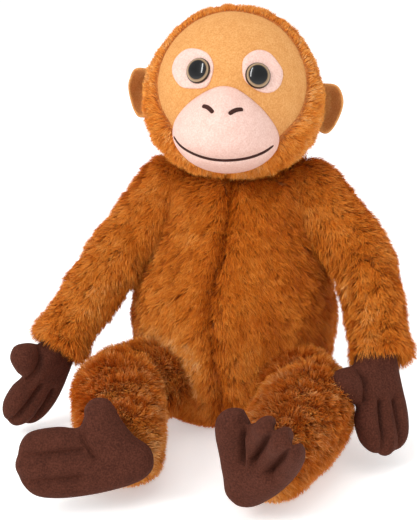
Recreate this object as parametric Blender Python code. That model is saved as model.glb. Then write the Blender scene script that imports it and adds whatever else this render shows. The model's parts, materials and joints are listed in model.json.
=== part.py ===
"""A seated plush orangutan: fur and velour panels sewn round stuffing, on seams that flex at each joint.

Sizes are in millimetres and are turned into metres where a mesh is made. +Z is up, the toy faces -Y, and the
origin is the centre of the flat seat. Left and right are the toy's own: its left is at +X.
"""

import math

import bmesh
import bpy
from mathutils import Matrix, Vector

MM = 0.001

# Fabric and sewing
GAP = 0.3  # between pieces that are sewn together
SLACK = 0.5  # between a skin and the stuffing in it
HEAD_SLACK = 1.6  # the same in the head, whose skins are flatter between their seams
FUR = 6.0  # long-pile fabric, with its pile laid down
VELOUR = 2.0  # short-pile fabric
APPLIQUE = 1.2  # an eye patch
THREAD = 0.9  # radius of a line of satin stitching
STITCH_LIFT = 1.0  # of a thread over the muzzle, which is flatter between its corners
SWING_ROOM = 1.6  # round a limb's end in the torso, for the limb to swing
SWING_FLARE = 1.25  # how much wider that room is three radii out, where a limb is thicker

# Torso: height above the seat, half width, reach to the front, reach to the back
TORSO_TOP = 176.0
TORSO_PROFILE = (
    (0.0, 52.0, 50.0, 48.0),
    (3.0, 58.0, 55.0, 52.0),
    (18.0, 66.0, 62.0, 57.0),
    (45.0, 73.0, 68.0, 58.0),
    (80.0, 76.0, 70.0, 57.0),
    (105.0, 72.0, 64.0, 54.0),
    (130.0, 62.0, 55.0, 48.0),
    (152.0, 51.0, 45.0, 41.0),
    (165.0, 40.0, 33.0, 32.0),
    (173.0, 24.0, 20.0, 20.0),
    (TORSO_TOP, 0.0, 0.0, 0.0),
)
BELLY_TURN = 6.0  # degrees that the front seam is turned to the toy's right
PELLET_BAG = (40.0, 30.0, 15.0)  # half sizes of the bag in the seat
PELLET_BAG_BACK = 14.0  # its centre behind the seat's centre

# Head: half sizes of the stuffed ball, and where its middle and the neck's turning axis are
HEAD_HALF = (55.5, 56.0, 56.0)
HEAD_CENTRE = Vector((-2.8, -8.0, 240.5))
HEAD_TURN = 0.5  # degrees towards the toy's left
HEAD_TILT = 4.0  # degrees that the toy's left ear is lower
FACE_EDGE = (71.0, 70.5, 69.5, 65.0, 57.5, 58.5, 59.5)  # degrees off the nose's axis, from crown to chin

# Face, as right and up from the middle of the face
MUZZLE_CENTRE = (0.0, -17.5)
MUZZLE_OUTLINE = (
    (0, 27), (12, 22.5), (26, 10), (34.5, -4), (31.5, -16), (18.5, -25.5),
    (0, -28), (-18.5, -25.5), (-31.5, -16), (-34.5, -4), (-26, 10), (-12, 22.5),
)
MUZZLE_DEPTH = 26.0
MUZZLE_WAY = Vector((0.0, -1.0, -0.22))  # forwards, and a little down to the chin
EYE_CENTRE = (19.3, 15.5)
EYE_RADIUS = 7.6
EYE_DOME = 5.0
EYE_POST = (2.0, 13.0)  # radius and length
WASHER = (2.4, 7.0, 1.5)  # bore, outer radius, thickness
WASHER_BACK = 2.2  # from the face panel, whose inside is hollow where the washer is flat
PATCH_OUTLINE = ((-11.5, 1), (-8, 10), (3, 13), (12, 9), (14, -2), (8, -10.5), (-3, -9))
MOUTH = ((-29, -21), (-20, -26.5), (-10, -30), (0, -31), (10, -30), (20, -26.5), (29, -21))
NOSTRIL = ((4.5, -4.0), (8.5, -2.0), (12.5, 0.0))
EAR_OUTLINE = ((0, -9), (4, -17), (12, -15), (17, -3), (16, 10), (9, 18), (0, 13))
EAR_MIDDLE = (7, 1)
EAR_THICK = 3.2  # half thickness
EAR_CUP = 0.012  # how fast an ear curls forwards, per millimetre squared
EAR_PLACE = (HEAD_HALF[0] + FUR + 0.5, 8.0, -1.0)

# Arms: the shoulder, the elbow and the wrist are one tube's centre line
SHOULDER = Vector((50.0, 0.0, 166.0))
UPPER_ARM = 66.0
FOREARM = 73.0
ARM_WAY = {"left": ((44, -28, -40), (15, -40, -48)), "right": ((43, -26, -52), (33, -36, -54))}
ARM_RADIUS = (21.5, 21.0, 22.0, 20.5, 19.5)  # from the shoulder to the wrist
ARM_SEAM_WAY = (0.0, -1.0, 0.6)  # the way that the seam along an arm's front faces
CUFF = 4.5  # thickness of an arm's fur, where the hand comes out of it
SHOULDER_AXIS = (-0.819, -0.574)  # the left arm lifts forwards and outwards about this
SHOULDER_SWING = (-5.0, 28.0, 60.0)  # degrees up: lowest, middle, highest

# Hands, as reach from the wrist and offset to the thumb's side
HAND_ROOT = 13.5
HAND_OUTLINE = (
    (-13.5, 0), (-9.5, -9.5), (0, -13.5), (18, -17), (42, -20), (61, -16), (70, -3), (69, 7), (60, 15),
    (46, 17), (36, 15), (33, 23), (27, 32), (17, 33), (11, 25), (8, 15), (0, 12.5), (-9, 9.5),
)
HAND_MIDDLE = (30, 2)
HAND_THICK = (10.5, 9.5)  # half thickness at the wrist and at the fingertips
HAND_WAY = {"left": ((12, -20, -68), (-0.75, -0.66, 0.1)), "right": ((-26, -26, -59), (-0.75, -0.9, 0.2))}

# Legs: the hip, the knee and the ankle are one tube's centre line
HIP = Vector((42.0, -38.0, 36.0))
THIGH = 56.0
SHIN = 76.0
LEG_YAW = {"left": (21.0, -16.0), "right": (34.0, -12.0)}  # thigh and shin, degrees outwards
LEG_RISE = {"left": (2.0, -8.5), "right": (1.0, -7.5)}  # thigh and shin, degrees up
LEG_RADIUS = (24.5, 28.5, 31.0, 29.5, 26.5)  # from the hip to the ankle
HIP_SWING = (-12.0, 6.0, 25.0)  # degrees up: lowest, middle, highest

# Feet, as reach from the heel and offset to the big toe's side
FOOT_OUTLINE = (
    (0, 0), (2, -8), (12, -15), (36, -21), (60, -23), (76, -19), (85, -5), (84, 8), (77, 19),
    (60, 22), (45, 20), (40, 25), (39, 36), (32, 40), (24, 36), (19, 25), (12, 14), (3, 8),
)
FOOT_MIDDLE = (36, 2)
FOOT_THICK = (10.0, 8.5)  # half thickness at the heel and at the toes
FOOT_AXIS = {"left": (15.0, 2.0), "right": (19.0, 6.0)}  # where the leg's axis meets the foot
FOOT_WAY = {
    "left": ((0.41, -0.43, 0.80), (-0.79, 0.23, 0.53)),
    "right": ((-0.97, -0.2, 0.0), (0.0, 0.12, 1.0)),
}

# How finely the pieces are divided
ROUND = 16  # points round a whole tube
LIMB_RINGS = 8  # along a limb
EDGE_POINTS = 26  # round a hand or a foot
EAR_POINTS = 17  # round an ear
CURVE_STEPS = 40  # along a centre line, where its length is measured
COLOURS = {
    "fur": (0.48, 0.15, 0.025, 0.95),
    "face_velour": (0.72, 0.36, 0.10, 0.9),
    "pink_velour": (0.92, 0.66, 0.56, 0.9),
    "brown_velour": (0.085, 0.027, 0.018, 0.9),
    "stuffing": (0.85, 0.85, 0.82, 1.0),
    "pellets": (0.75, 0.75, 0.7, 0.8),
    "eye_plastic": (0.03, 0.02, 0.015, 0.1),
    "washer_plastic": (0.8, 0.8, 0.8, 0.4),
    "thread": (0.06, 0.02, 0.015, 0.7),
}


# ---------------------------------------------------------------- curves and meshes


def between(values, share):
    """The value a share of the way along evenly spaced values, by a smooth curve through them."""
    place = min(max(share, 0.0), 1.0) * (len(values) - 1)
    i = min(int(place), len(values) - 2)
    t = place - i
    a, b = values[i], values[i + 1]
    before = values[i - 1] if i else a
    after = values[i + 2] if i + 2 < len(values) else b
    slope_a, slope_b = (b - before) / 2, (after - a) / 2
    return (
        a * (2 * t**3 - 3 * t**2 + 1)
        + b * (3 * t**2 - 2 * t**3)
        + slope_a * (t**3 - 2 * t**2 + t)
        + slope_b * (t**3 - t**2)
    )


def closed_curve(points, count):
    """count points on a smooth closed curve through the given 2D points."""
    points = [Vector(p) for p in points]
    wrapped = points[-2:] + points + points[:3]
    span = len(wrapped) - 1
    return [between(wrapped, (2 + len(points) * k / count) / span) for k in range(count)]


def line_at(points, reach):
    """The place and direction at a distance along a smooth curve, which runs on straight past both ends."""
    dense = [between(points, k / CURVE_STEPS) for k in range(CURVE_STEPS + 1)]
    lengths = [(b - a).length for a, b in zip(dense, dense[1:])]
    if reach <= 0:
        way = (dense[1] - dense[0]).normalized()
        return dense[0] + way * reach, way
    for a, b, length in zip(dense, dense[1:], lengths):
        if reach <= length:
            return a + (b - a) * (reach / length), (b - a).normalized()
        reach -= length
    way = (dense[-1] - dense[-2]).normalized()
    return dense[-1] + way * reach, way


def line_length(points):
    dense = [between(points, k / CURVE_STEPS) for k in range(CURVE_STEPS + 1)]
    return sum((b - a).length for a, b in zip(dense, dense[1:]))


def material(name):
    """The Principled material of a fabric or plastic, made the first time that it is asked for."""
    found = bpy.data.materials.get(name)
    if found:
        return found
    red, green, blue, roughness = COLOURS[name]
    made = bpy.data.materials.new(name)
    made.use_nodes = True
    shader = made.node_tree.nodes["Principled BSDF"]
    shader.inputs["Base Color"].default_value = (red, green, blue, 1.0)
    shader.inputs["Roughness"].default_value = roughness
    shader.inputs["Metallic"].default_value = 0.0
    made.diffuse_color = (red, green, blue, 1.0)
    return made


def solid(name, fabric, rows, parent=None, ring=False):
    """A closed solid from rows of loops of points, with both ends capped, or joined for a ring."""
    bm = bmesh.new()
    loops = [[bm.verts.new(Vector(p) * MM) for p in row] for row in rows]
    count = len(rows[0])
    pairs = list(zip(loops, loops[1:])) + ([(loops[-1], loops[0])] if ring else [])
    for low, high in pairs:
        for j in range(count):
            k = (j + 1) % count
            bm.faces.new((low[j], low[k], high[k], high[j]))
    for end in () if ring else (loops[0], loops[-1]):
        for j in range(count // 2 - 1):
            bm.faces.new((end[j], end[j + 1], end[count - 2 - j], end[count - 1 - j]))
    bmesh.ops.remove_doubles(bm, verts=bm.verts, dist=1e-6)
    bmesh.ops.dissolve_degenerate(bm, edges=bm.edges, dist=1e-6)
    bmesh.ops.recalc_face_normals(bm, faces=bm.faces)
    mesh = bpy.data.meshes.new(name)
    bm.to_mesh(mesh)
    bm.free()
    mesh.shade_smooth()
    mesh.set_sharp_from_angle(angle=math.radians(40))
    mesh.materials.append(material(fabric))
    made = bpy.data.objects.new(name, mesh)
    bpy.context.scene.collection.objects.link(made)
    made.parent = parent
    return made


def cut(piece, *cutters):
    """Cuts other bodies out of a piece."""
    for cutter in cutters:
        trim = piece.modifiers.new(cutter.name, "BOOLEAN")
        trim.operation = "DIFFERENCE"
        trim.solver = "EXACT"
        trim.object = cutter


def guide(cutter):
    """Marks a body as one that only cuts others."""
    cutter.hide_render = True
    cutter.display_type = "WIRE"
    return cutter


def pivot(name, place, turn=None):
    """An empty on a joint's axis, which the moving pieces hang from."""
    made = bpy.data.objects.new(name, None)
    made.empty_display_size = 0.02
    made.matrix_basis = Matrix.Translation(Vector(place) * MM) @ (turn or Matrix.Identity(4))
    bpy.context.scene.collection.objects.link(made)
    return made


def hang_in_place(joint):
    """Lets the pieces that hang from a joint stay where they were modelled, in the toy's own frame."""
    for piece in joint.children:
        piece.matrix_parent_inverse = joint.matrix_basis.inverted()


# ---------------------------------------------------------------- tubes sewn from panels


def shrink(profile, depth):
    """A tube's profile of (reach, half width, half height), moved inwards by a depth."""
    moved = []
    for i, (reach, wide, high) in enumerate(profile):
        before, after = profile[max(i - 1, 0)], profile[min(i + 1, len(profile) - 1)]
        run, rise = after[0] - before[0], (after[1] + after[2] - before[1] - before[2]) / 2
        if wide == 0:
            run = 0.0
        elif i in (0, len(profile) - 1):
            rise = 0.0
        size = math.hypot(run, rise) or 1.0
        out, along = run / size, -rise / size
        moved.append((reach - depth * along, max(wide - depth * out, 0.0), max(high - depth * out, 0.0)))
    return moved


def tube_rows(place, profile, angles):
    """Rows of points round a tube: place(reach) gives its centre, its half-width and its half-height ways."""
    rows = []
    for reach, wide, high in profile:
        centre, across, up = place(reach)
        rows.append([centre + across * wide * math.cos(a) + up * high * math.sin(a) for a in angles])
    return rows


def panel(name, fabric, place, profile, start, end, thick, parent=None):
    """One sewn panel of a tube, from one seam's angle to the next's, held half a gap off both seams."""
    count = max(3, round(ROUND * abs(end - start) / 360))
    angles = [math.radians(start + (end - start) * k / count) for k in range(count + 1)]
    middle = math.radians((start + end) / 2)
    spread = GAP / 2 / math.sin(math.radians(abs(end - start)) / 2)
    outer = tube_rows(place, profile, angles)
    inner = tube_rows(place, shrink(profile, thick), angles)
    rows = []
    for (reach, _, _), out, into in zip(profile, outer, inner):
        _, across, up = place(reach)
        off = (across * math.cos(middle) + up * math.sin(middle)) * spread
        rows.append([p + off for p in out + into[::-1]])
    return solid(name, fabric, rows, parent)


def filling(name, fabric, place, profile, depth, parent=None):
    """The stuffing of a tube, a depth inside its skin's outer face."""
    angles = [2 * math.pi * k / ROUND for k in range(ROUND)]
    return solid(name, fabric, tube_rows(place, shrink(profile, depth), angles), parent)


def limb_profile(radii, length, domed_end):
    """A limb's tube: a round end at its first joint, and at its last one where domed_end is set."""
    start, steps = radii[0], 3
    profile = []
    for k in range(steps):
        turn = math.pi / 2 * k / steps
        profile.append((-start * math.cos(turn), start * math.sin(turn), start * math.sin(turn)))
    for k in range(LIMB_RINGS):
        share = k / (LIMB_RINGS - 1)
        size = between(radii, share)
        profile.append((length * share, size, size))
    for k in range(steps if domed_end else 0):
        turn = math.pi / 2 * (k + 1) / steps
        size = radii[-1] * math.cos(turn) if k < steps - 1 else 0.0
        profile.append((length + radii[-1] * math.sin(turn), size, size))
    return profile


def limb_place(points, up_hint):
    """place(reach) for a limb: its own centre line, with one way kept as near up_hint as it can be."""

    def place(reach):
        centre, way = line_at(points, reach)
        up = (up_hint - way * up_hint.dot(way)).normalized()
        return centre, way.cross(up), up

    return place


def swing_room(name, joint, way, axis, angles, radius):
    """The room that a limb sweeps in the torso: the hull of its round end and of rings at some angles."""
    bm = bmesh.new()
    bmesh.ops.create_icosphere(bm, subdivisions=3, radius=radius * MM, matrix=Matrix.Translation(joint * MM))
    bmesh.ops.delete(bm, geom=bm.edges[:], context="EDGES_FACES")
    for angle in angles:
        turned = Matrix.Rotation(math.radians(angle), 3, axis) @ way
        far_ring = turned_rows(joint, turned, [(3 * radius, SWING_FLARE * radius)], ROUND)[0]
        for point in far_ring:
            bm.verts.new(point * MM)
    hull = bmesh.ops.convex_hull(bm, input=bm.verts)
    inside = [g for g in hull["geom_interior"] if isinstance(g, bmesh.types.BMVert)]
    bmesh.ops.delete(bm, geom=inside, context="VERTS")
    bmesh.ops.recalc_face_normals(bm, faces=bm.faces)
    mesh = bpy.data.meshes.new(name)
    bm.to_mesh(mesh)
    bm.free()
    made = bpy.data.objects.new(name, mesh)
    bpy.context.scene.collection.objects.link(made)
    return guide(made)


# ---------------------------------------------------------------- mitts: hands, feet and ears


def mitt(
    name, fabric, outline, middle, thick, frame, cup=0.0, parts=("back", "palm"), filled=True, parent=None,
):
    """Two panels sewn round an outline, with stuffing between. frame turns (reach, side, up) into place."""
    edge = closed_curve(outline, EDGE_POINTS if filled else EAR_POINTS)
    middle = Vector(middle)
    reaches = [p.x for p in edge]
    near, far = min(reaches), max(reaches)

    def face(inset, side, share):
        row = []
        for p in edge:
            spoke = p - middle
            spoke *= (spoke.length - inset) / spoke.length * share
            flat = middle + spoke
            along = (flat.x - near) / (far - near)
            height = (thick[0] + (thick[1] - thick[0]) * along - inset) * math.sqrt(1 - share**2.4)
            curl = cup * flat.y**2
            row.append(frame @ Vector((flat.x, flat.y, side * (height + GAP / 2) + curl)))
        return row

    fine, coarse = (0.0, 0.45, 0.75, 0.93, 1.0), (1.0, 0.8, 0.0)
    for part, side in zip(parts, (1, -1)):
        outer = [face(0.0, side, share) for share in fine]
        inner = [face(VELOUR, side, share) for share in coarse]
        solid(f"{name}_{part}", fabric, outer + inner, parent)
    if filled:
        depth = VELOUR + SLACK
        top = [face(depth, 1, share) for share in coarse[::-1]]
        under = [face(depth, -1, share) for share in coarse]
        solid(f"{name}_stuffing", "stuffing", top + under, parent)


def mitt_frame(origin, reach_way, side_way, side):
    """The matrix of a mitt that lies along reach_way with its thumb to side_way, mirrored by side."""
    along = Vector(reach_way).normalized()
    out = Vector(side_way)
    out = (out - along * out.dot(along)).normalized()
    up = along.cross(out) * side
    turn = Matrix((along, out, up)).transposed().to_4x4()
    return Matrix.Translation(origin) @ turn


# ---------------------------------------------------------------- the torso


def torso_place(reach):
    """Centre and ways of the torso at a height: its front and back reach differ, so the centre moves."""
    turn = Matrix.Rotation(math.radians(-BELLY_TURN), 3, "Z")
    heights = [row[0] for row in TORSO_PROFILE]
    i = max(k for k, height in enumerate(heights[:-1]) if height <= max(reach, 0.0))
    share = min(max(reach - heights[i], 0.0) / (heights[i + 1] - heights[i]), 1.0)
    shift = [(row[3] - row[2]) / 2 for row in TORSO_PROFILE]
    shift[-1] = shift[-2]
    middle = shift[i] + (shift[i + 1] - shift[i]) * share
    return turn @ Vector((0, middle, reach)), turn @ Vector((1, 0, 0)), turn @ Vector((0, 1, 0))


def torso_profile():
    return [(height, wide, (front + back) / 2) for height, wide, front, back in TORSO_PROFILE]


def torso_profile_at(height):
    """The inside of the torso's walls at one height."""
    inside = shrink(torso_profile(), FUR + SLACK)
    low = max((row for row in inside if row[0] <= height), key=lambda row: row[0])
    high = min((row for row in inside if row[0] > height), key=lambda row: row[0])
    share = (height - low[0]) / (high[0] - low[0])
    return (height,) + tuple(a + (b - a) * share for a, b in zip(low[1:], high[1:]))


def make_torso(cutters):
    profile = torso_profile()
    seams = {
        "front_right": (180, 270), "front_left": (270, 360), "back_left": (0, 90), "back_right": (90, 180),
    }
    for corner, (start, end) in seams.items():
        cut(panel(f"torso_{corner}", "fur", torso_place, profile, start, end, FUR), *cutters)

    # The seat closes the walls' lower edge, and its underside is what the toy sits on.
    _, wide, deep = profile[0]
    inside = FUR + GAP
    seat = [(0.0, wide - inside, deep - inside), (FUR - 1, wide - inside, deep - inside)]
    filling("seat_panel", "fur", torso_place, seat, 0.0)

    bag_wide, bag_deep, bag_high = PELLET_BAG
    bag_middle = FUR + SLACK + bag_high
    bag = []
    for k in range(1, 10):
        turn = math.pi * (k / 10 - 0.5)
        bag.append((bag_high * math.sin(turn), bag_wide * math.cos(turn), bag_deep * math.cos(turn)))

    def bag_place(reach):
        return Vector((0, PELLET_BAG_BACK, bag_middle + reach)), Vector((1, 0, 0)), Vector((0, 1, 0))

    filling("pellet_bag", "pellets", bag_place, bag, 0.0)
    floor = bag_middle + bag_high + SLACK
    walls = [row for row in shrink(profile, FUR + SLACK) if row[0] > floor]
    stuffing = filling("torso_stuffing", "stuffing", torso_place, [torso_profile_at(floor)] + walls, 0.0)
    cut(stuffing, *cutters)


# ---------------------------------------------------------------- the head


def head_point(polar, turn, out):
    """A point of the head's ball: polar is degrees off the nose's axis, turn degrees round it, out extra."""
    wide, deep, high = (half + out for half in HEAD_HALF)
    p, t = math.radians(polar), math.radians(turn)
    return Vector((wide * math.sin(p) * math.cos(t), -deep * math.cos(p), high * math.sin(p) * math.sin(t)))


def face_edge(turn):
    """Where the face panel meets the hood, in degrees off the nose's axis."""
    from_crown = abs((90 - turn + 180) % 360 - 180)
    return between(FACE_EDGE, from_crown / 180)


def face_depth(right, up, out):
    """The point of the face that is right and up from its middle, with some height above it."""
    wide, deep, high = HEAD_HALF
    off = min((right / wide) ** 2 + (up / high) ** 2, 0.98)
    flat = Vector((right, -deep * math.sqrt(1 - off), up))
    normal = Vector((flat.x / wide**2, flat.y / deep**2, flat.z / high**2)).normalized()
    return flat + normal * (VELOUR + out)


def muzzle_height(share):
    return math.sqrt(max(1 - share**2.3, 0.0))


def muzzle_point(right, up, out):
    """The point of the muzzle's skin that is right and up from the middle of the face."""
    edge = closed_curve(MUZZLE_OUTLINE, 72)
    centre = Vector(MUZZLE_CENTRE)
    spoke = Vector((right, up)) - centre
    nearest = max(edge, key=lambda p: p.normalized().dot(spoke.normalized()))
    share = min(spoke.length / nearest.length, 1.0)
    base = face_depth(right, up, GAP)
    return base + MUZZLE_WAY * (MUZZLE_DEPTH * muzzle_height(share) + out)


def make_muzzle(parent):
    edge = closed_curve(MUZZLE_OUTLINE, 20)
    centre = Vector(MUZZLE_CENTRE)
    fine, coarse = (0.0, 0.4, 0.68, 0.87, 0.96, 1.0), (0.0, 0.6, 0.9, 1.0)

    def rows(inset, depth, shares, lift=0.0):
        made = []
        for share in shares:
            row = []
            for p in edge:
                flat = centre + p * ((p.length - inset) / p.length * share)
                rise = (depth * muzzle_height(share)) if share < 1 else 0.0
                row.append(face_depth(flat.x, flat.y, GAP + lift) + MUZZLE_WAY * rise)
            made.append(row)
        return made

    outer = rows(0.0, MUZZLE_DEPTH, fine)
    inner = rows(VELOUR, MUZZLE_DEPTH - 2 * VELOUR, coarse)
    solid("muzzle_cover", "pink_velour", outer + inner[::-1], parent)
    inside = VELOUR + 2 * HEAD_SLACK
    top = rows(inside, MUZZLE_DEPTH - 2 * inside, coarse, HEAD_SLACK)
    under = rows(inside, 0.0, coarse, HEAD_SLACK)
    solid("muzzle_stuffing", "stuffing", top + under[::-1], parent)


def stitch_line(name, points, parent):
    """A line of satin stitching that lies on the muzzle."""
    route = [Vector(p) for p in points]
    steps = 3 * (len(points) - 1)
    lifted = [between(route, k / steps) for k in range(steps + 1)]
    line = [muzzle_point(p.x, p.y, THREAD + STITCH_LIFT) for p in lifted]
    place = limb_place(line, Vector((0, -1, 0)))
    length = line_length(line)
    profile = [(length * k / steps, THREAD, THREAD) for k in range(steps + 1)]
    angles = [2 * math.pi * k / 6 for k in range(6)]
    solid(name, "thread", tube_rows(place, profile, angles), parent)


def turned_rows(origin, way, profile, count):
    """Rows of points round an axis, for a profile of (reach, radius)."""
    across = way.orthogonal().normalized()
    up = way.cross(across)
    angles = [2 * math.pi * k / count for k in range(count)]
    return [
        [origin + way * reach + (across * math.cos(a) + up * math.sin(a)) * radius for a in angles]
        for reach, radius in profile
    ]


def make_eye(side, name, parent):
    """An eye patch, the safety eye and its lock washer. Gives what cuts the face and the stuffing."""
    right, up = EYE_CENTRE[0] * side, EYE_CENTRE[1]
    centre = face_depth(right, up, 0.0)
    way = (face_depth(right, up, 1.0) - centre).normalized()

    edge = closed_curve([(p[0] * side + right, p[1] + up) for p in PATCH_OUTLINE], 20)
    middle = Vector((right, up))
    rows = []
    for height, shares in ((GAP, (0.0, 0.55, 1.0)), (GAP + APPLIQUE, (1.0, 0.55, 0.0))):
        for share in shares:
            flats = [middle + (p - middle) * share for p in edge]
            rows.append([face_depth(p.x, p.y, height) for p in flats])
    patch = solid(f"eye_patch_{name}", "pink_velour", rows, parent)

    radius, length = EYE_POST
    seat = 2 * GAP + APPLIQUE
    dome = [
        (seat + 1.0 + (EYE_DOME - 1.0) * math.cos(a), EYE_RADIUS * math.sin(a))
        for a in [math.pi / 2 * k / 4 for k in range(5)]
    ]
    profile = dome + [(seat, EYE_RADIUS - 0.4), (seat, radius), (-length, radius), (-length, 0.0)]
    solid(f"eye_{name}", "eye_plastic", turned_rows(centre, way, profile, ROUND), parent)

    bore, rim, thick = WASHER
    behind = -VELOUR - WASHER_BACK - thick
    ring = [(behind, bore), (behind + thick, bore), (behind + thick, rim), (behind, rim)]
    solid(f"eye_washer_{name}", "washer_plastic", turned_rows(centre, way, ring, ROUND), parent, ring=True)

    post_hole = [(-2 * VELOUR, 0.0), (-2 * VELOUR, bore), (2 * VELOUR, bore), (2 * VELOUR, 0.0)]
    hole = guide(solid(f"eye_hole_{name}", "stuffing", turned_rows(centre, way, post_hole, ROUND), parent))
    pit_end = -length - SLACK
    pit = [(pit_end, 0.0), (pit_end, rim + SLACK), (2.0, rim + SLACK), (2.0, 0.0)]
    pocket = guide(solid(f"eye_pocket_{name}", "stuffing", turned_rows(centre, way, pit, ROUND), parent))
    cut(patch, hole)
    return hole, pocket


def make_ear(side, name, parent):
    """Two layers of velour, cupped forwards."""
    place = Vector(EAR_PLACE)
    place.x *= side
    frame = mitt_frame(place, (side, 0.1, 0), (0, 0, 1), -side)
    mitt(
        f"ear_{name}", "face_velour", EAR_OUTLINE, EAR_MIDDLE, (EAR_THICK, EAR_THICK), frame,
        cup=EAR_CUP, parts=("front", "back"), filled=False, parent=parent,
    )


def make_head():
    turn = Matrix.Rotation(math.radians(HEAD_TURN), 4, "Z") @ Matrix.Rotation(math.radians(HEAD_TILT), 4, "Y")
    parent = pivot("head_centre", HEAD_CENTRE, turn)
    seam = math.degrees(GAP / 2 / HEAD_HALF[1])

    count = ROUND // 2
    backs = 8
    for name, start in (("left", -90.0), ("right", 90.0)):
        side = 1 if name == "left" else -1
        turns = [start + 180.0 * k / count for k in range(count + 1)]
        rows = []
        for k in range(backs + 1):
            share = k / backs
            polars = [face_edge(t) + seam + (180.0 - face_edge(t) - seam) * share for t in turns]
            outer = [head_point(p, t, FUR) for p, t in zip(polars, turns)]
            inner = [head_point(p, t, 0.0) for p, t in zip(polars, turns)]
            shift = Vector((side * GAP / 2, 0, 0))
            rows.append([p + shift for p in outer + inner[::-1]])
        solid(f"hood_{name}", "fur", rows, parent)

    turns = [360.0 * k / ROUND for k in range(ROUND)]
    shares = (0.0, 0.3, 0.55, 0.8, 1.0)
    rows = []
    for out, order in ((VELOUR, shares), (0.0, shares[::-1])):
        for share in order:
            rows.append([head_point((face_edge(t) - seam) * share, t, out) for t in turns])
    face = solid("face_panel", "face_velour", rows, parent)

    ball = [[head_point(180.0 * k / 12, t, -HEAD_SLACK) for t in turns] for k in range(13)]
    stuffing = solid("head_stuffing", "stuffing", ball, parent)

    make_muzzle(parent)
    stitch_line("mouth_stitching", MOUTH, parent)
    for side, name in ((1, "left"), (-1, "right")):
        hole, pocket = make_eye(side, name, parent)
        cut(face, hole)
        cut(stuffing, pocket)
        nostril = [(side * p[0], p[1]) for p in NOSTRIL]
        stitch_line(f"nostril_stitching_{name}", nostril, parent)
        make_ear(side, name, parent)


# ---------------------------------------------------------------- limbs


def chain(start, ways, lengths):
    """A limb's centre line: its joints, with two points that round the bend between them."""
    first = start + Vector(ways[0]).normalized() * lengths[0]
    last = first + Vector(ways[1]).normalized() * lengths[1]
    bend = first.lerp(start.lerp(last, 0.5), 0.15)
    return [start, start.lerp(first, 0.55), bend, first.lerp(last, 0.45), last]


def mirrored(way, side):
    return (way[0] * side, way[1], way[2])


def make_arm(side, name):
    start = Vector(mirrored(SHOULDER, side))
    ways = [mirrored(way, side) for way in ARM_WAY[name]]
    line = chain(start, ways, (UPPER_ARM, FOREARM))
    length = line_length(line)
    place = limb_place(line, Vector(ARM_SEAM_WAY))
    shoulder = pivot(f"shoulder_{name}", start)
    profile = limb_profile(ARM_RADIUS, length, False)
    for part, start_angle in (("outer", -90), ("inner", 90)):
        angle = start_angle if side > 0 else start_angle + 180
        panel(f"arm_{name}_{part}", "fur", place, profile, angle, angle + 180, CUFF, shoulder)
    stop = length - HAND_ROOT - SLACK
    inside = [row for row in profile if row[0] < stop] + [(stop, ARM_RADIUS[-1], ARM_RADIUS[-1])]
    filling(f"arm_{name}_stuffing", "stuffing", place, inside, CUFF + SLACK, shoulder)

    frame = mitt_frame(line[-1], *HAND_WAY[name], side)
    wrist = pivot(f"wrist_{name}", line[-1])
    mitt(f"hand_{name}", "brown_velour", HAND_OUTLINE, HAND_MIDDLE, HAND_THICK, frame, parent=wrist)
    hang_in_place(shoulder)
    hang_in_place(wrist)
    return start, (line[1] - line[0]).normalized()


def turn_way(yaw, rise, side):
    yaw, rise = math.radians(yaw), math.radians(rise)
    return (side * math.sin(yaw) * math.cos(rise), -math.cos(yaw) * math.cos(rise), math.sin(rise))


def make_leg(side, name):
    start = Vector(mirrored(HIP, side))
    ways = [turn_way(yaw, rise, side) for yaw, rise in zip(LEG_YAW[name], LEG_RISE[name])]
    line = chain(start, ways, (THIGH, SHIN))
    length = line_length(line)
    place = limb_place(line, Vector((0.0, 0.0, 1.0)))
    hip = pivot(f"hip_{name}", start)
    profile = limb_profile(LEG_RADIUS, length, True)
    for part, angle in (("upper", 0), ("lower", 180)):
        panel(f"leg_{name}_{part}", "fur", place, profile, angle, angle + 180, FUR, hip)
    filling(f"leg_{name}_stuffing", "stuffing", place, profile, FUR + SLACK, hip)

    frame = mitt_frame(Vector(), *FOOT_WAY[name], -side)
    top_way = frame.to_3x3() @ Vector((0, 0, 1))
    out = LEG_RADIUS[-1] + 2 * GAP + FOOT_THICK[0]
    heel = line[-1] - top_way * out - frame @ Vector((*FOOT_AXIS[name], 0))
    ankle = pivot(f"ankle_{name}", line[-1])
    mitt(
        f"foot_{name}", "brown_velour", FOOT_OUTLINE, FOOT_MIDDLE, FOOT_THICK,
        Matrix.Translation(heel) @ frame, parts=("top", "sole"), parent=ankle,
    )
    hang_in_place(hip)
    hang_in_place(ankle)
    return start, (line[1] - line[0]).normalized()


def main():
    for old in list(bpy.data.objects):
        bpy.data.objects.remove(old)
    cutters = []
    for side, name in ((1, "left"), (-1, "right")):
        joint, way = make_arm(side, name)
        axis = Vector((SHOULDER_AXIS[0], SHOULDER_AXIS[1] * side, 0.0)).normalized()
        room = ARM_RADIUS[0] + SWING_ROOM
        cutters.append(swing_room(f"shoulder_room_{name}", joint, way, axis, SHOULDER_SWING, room))
        joint, way = make_leg(side, name)
        room = LEG_RADIUS[0] + SWING_ROOM
        cutters.append(swing_room(f"hip_room_{name}", joint, way, Vector((-1.0, 0.0, 0.0)), HIP_SWING, room))
    make_torso(cutters)
    make_head()


main()
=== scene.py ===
"""A seated plush orangutan, sewn from long-pile plush and short-pile velboa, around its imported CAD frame.

Sizes are in millimetres and are turned into metres where a mesh is made. +Z is up, the toy faces -Y, and
left and right are the toy's own: its left is at +X.
"""

import json
import math

import bpy
import numpy as np
from mathutils import Matrix, Vector, noise


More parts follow.
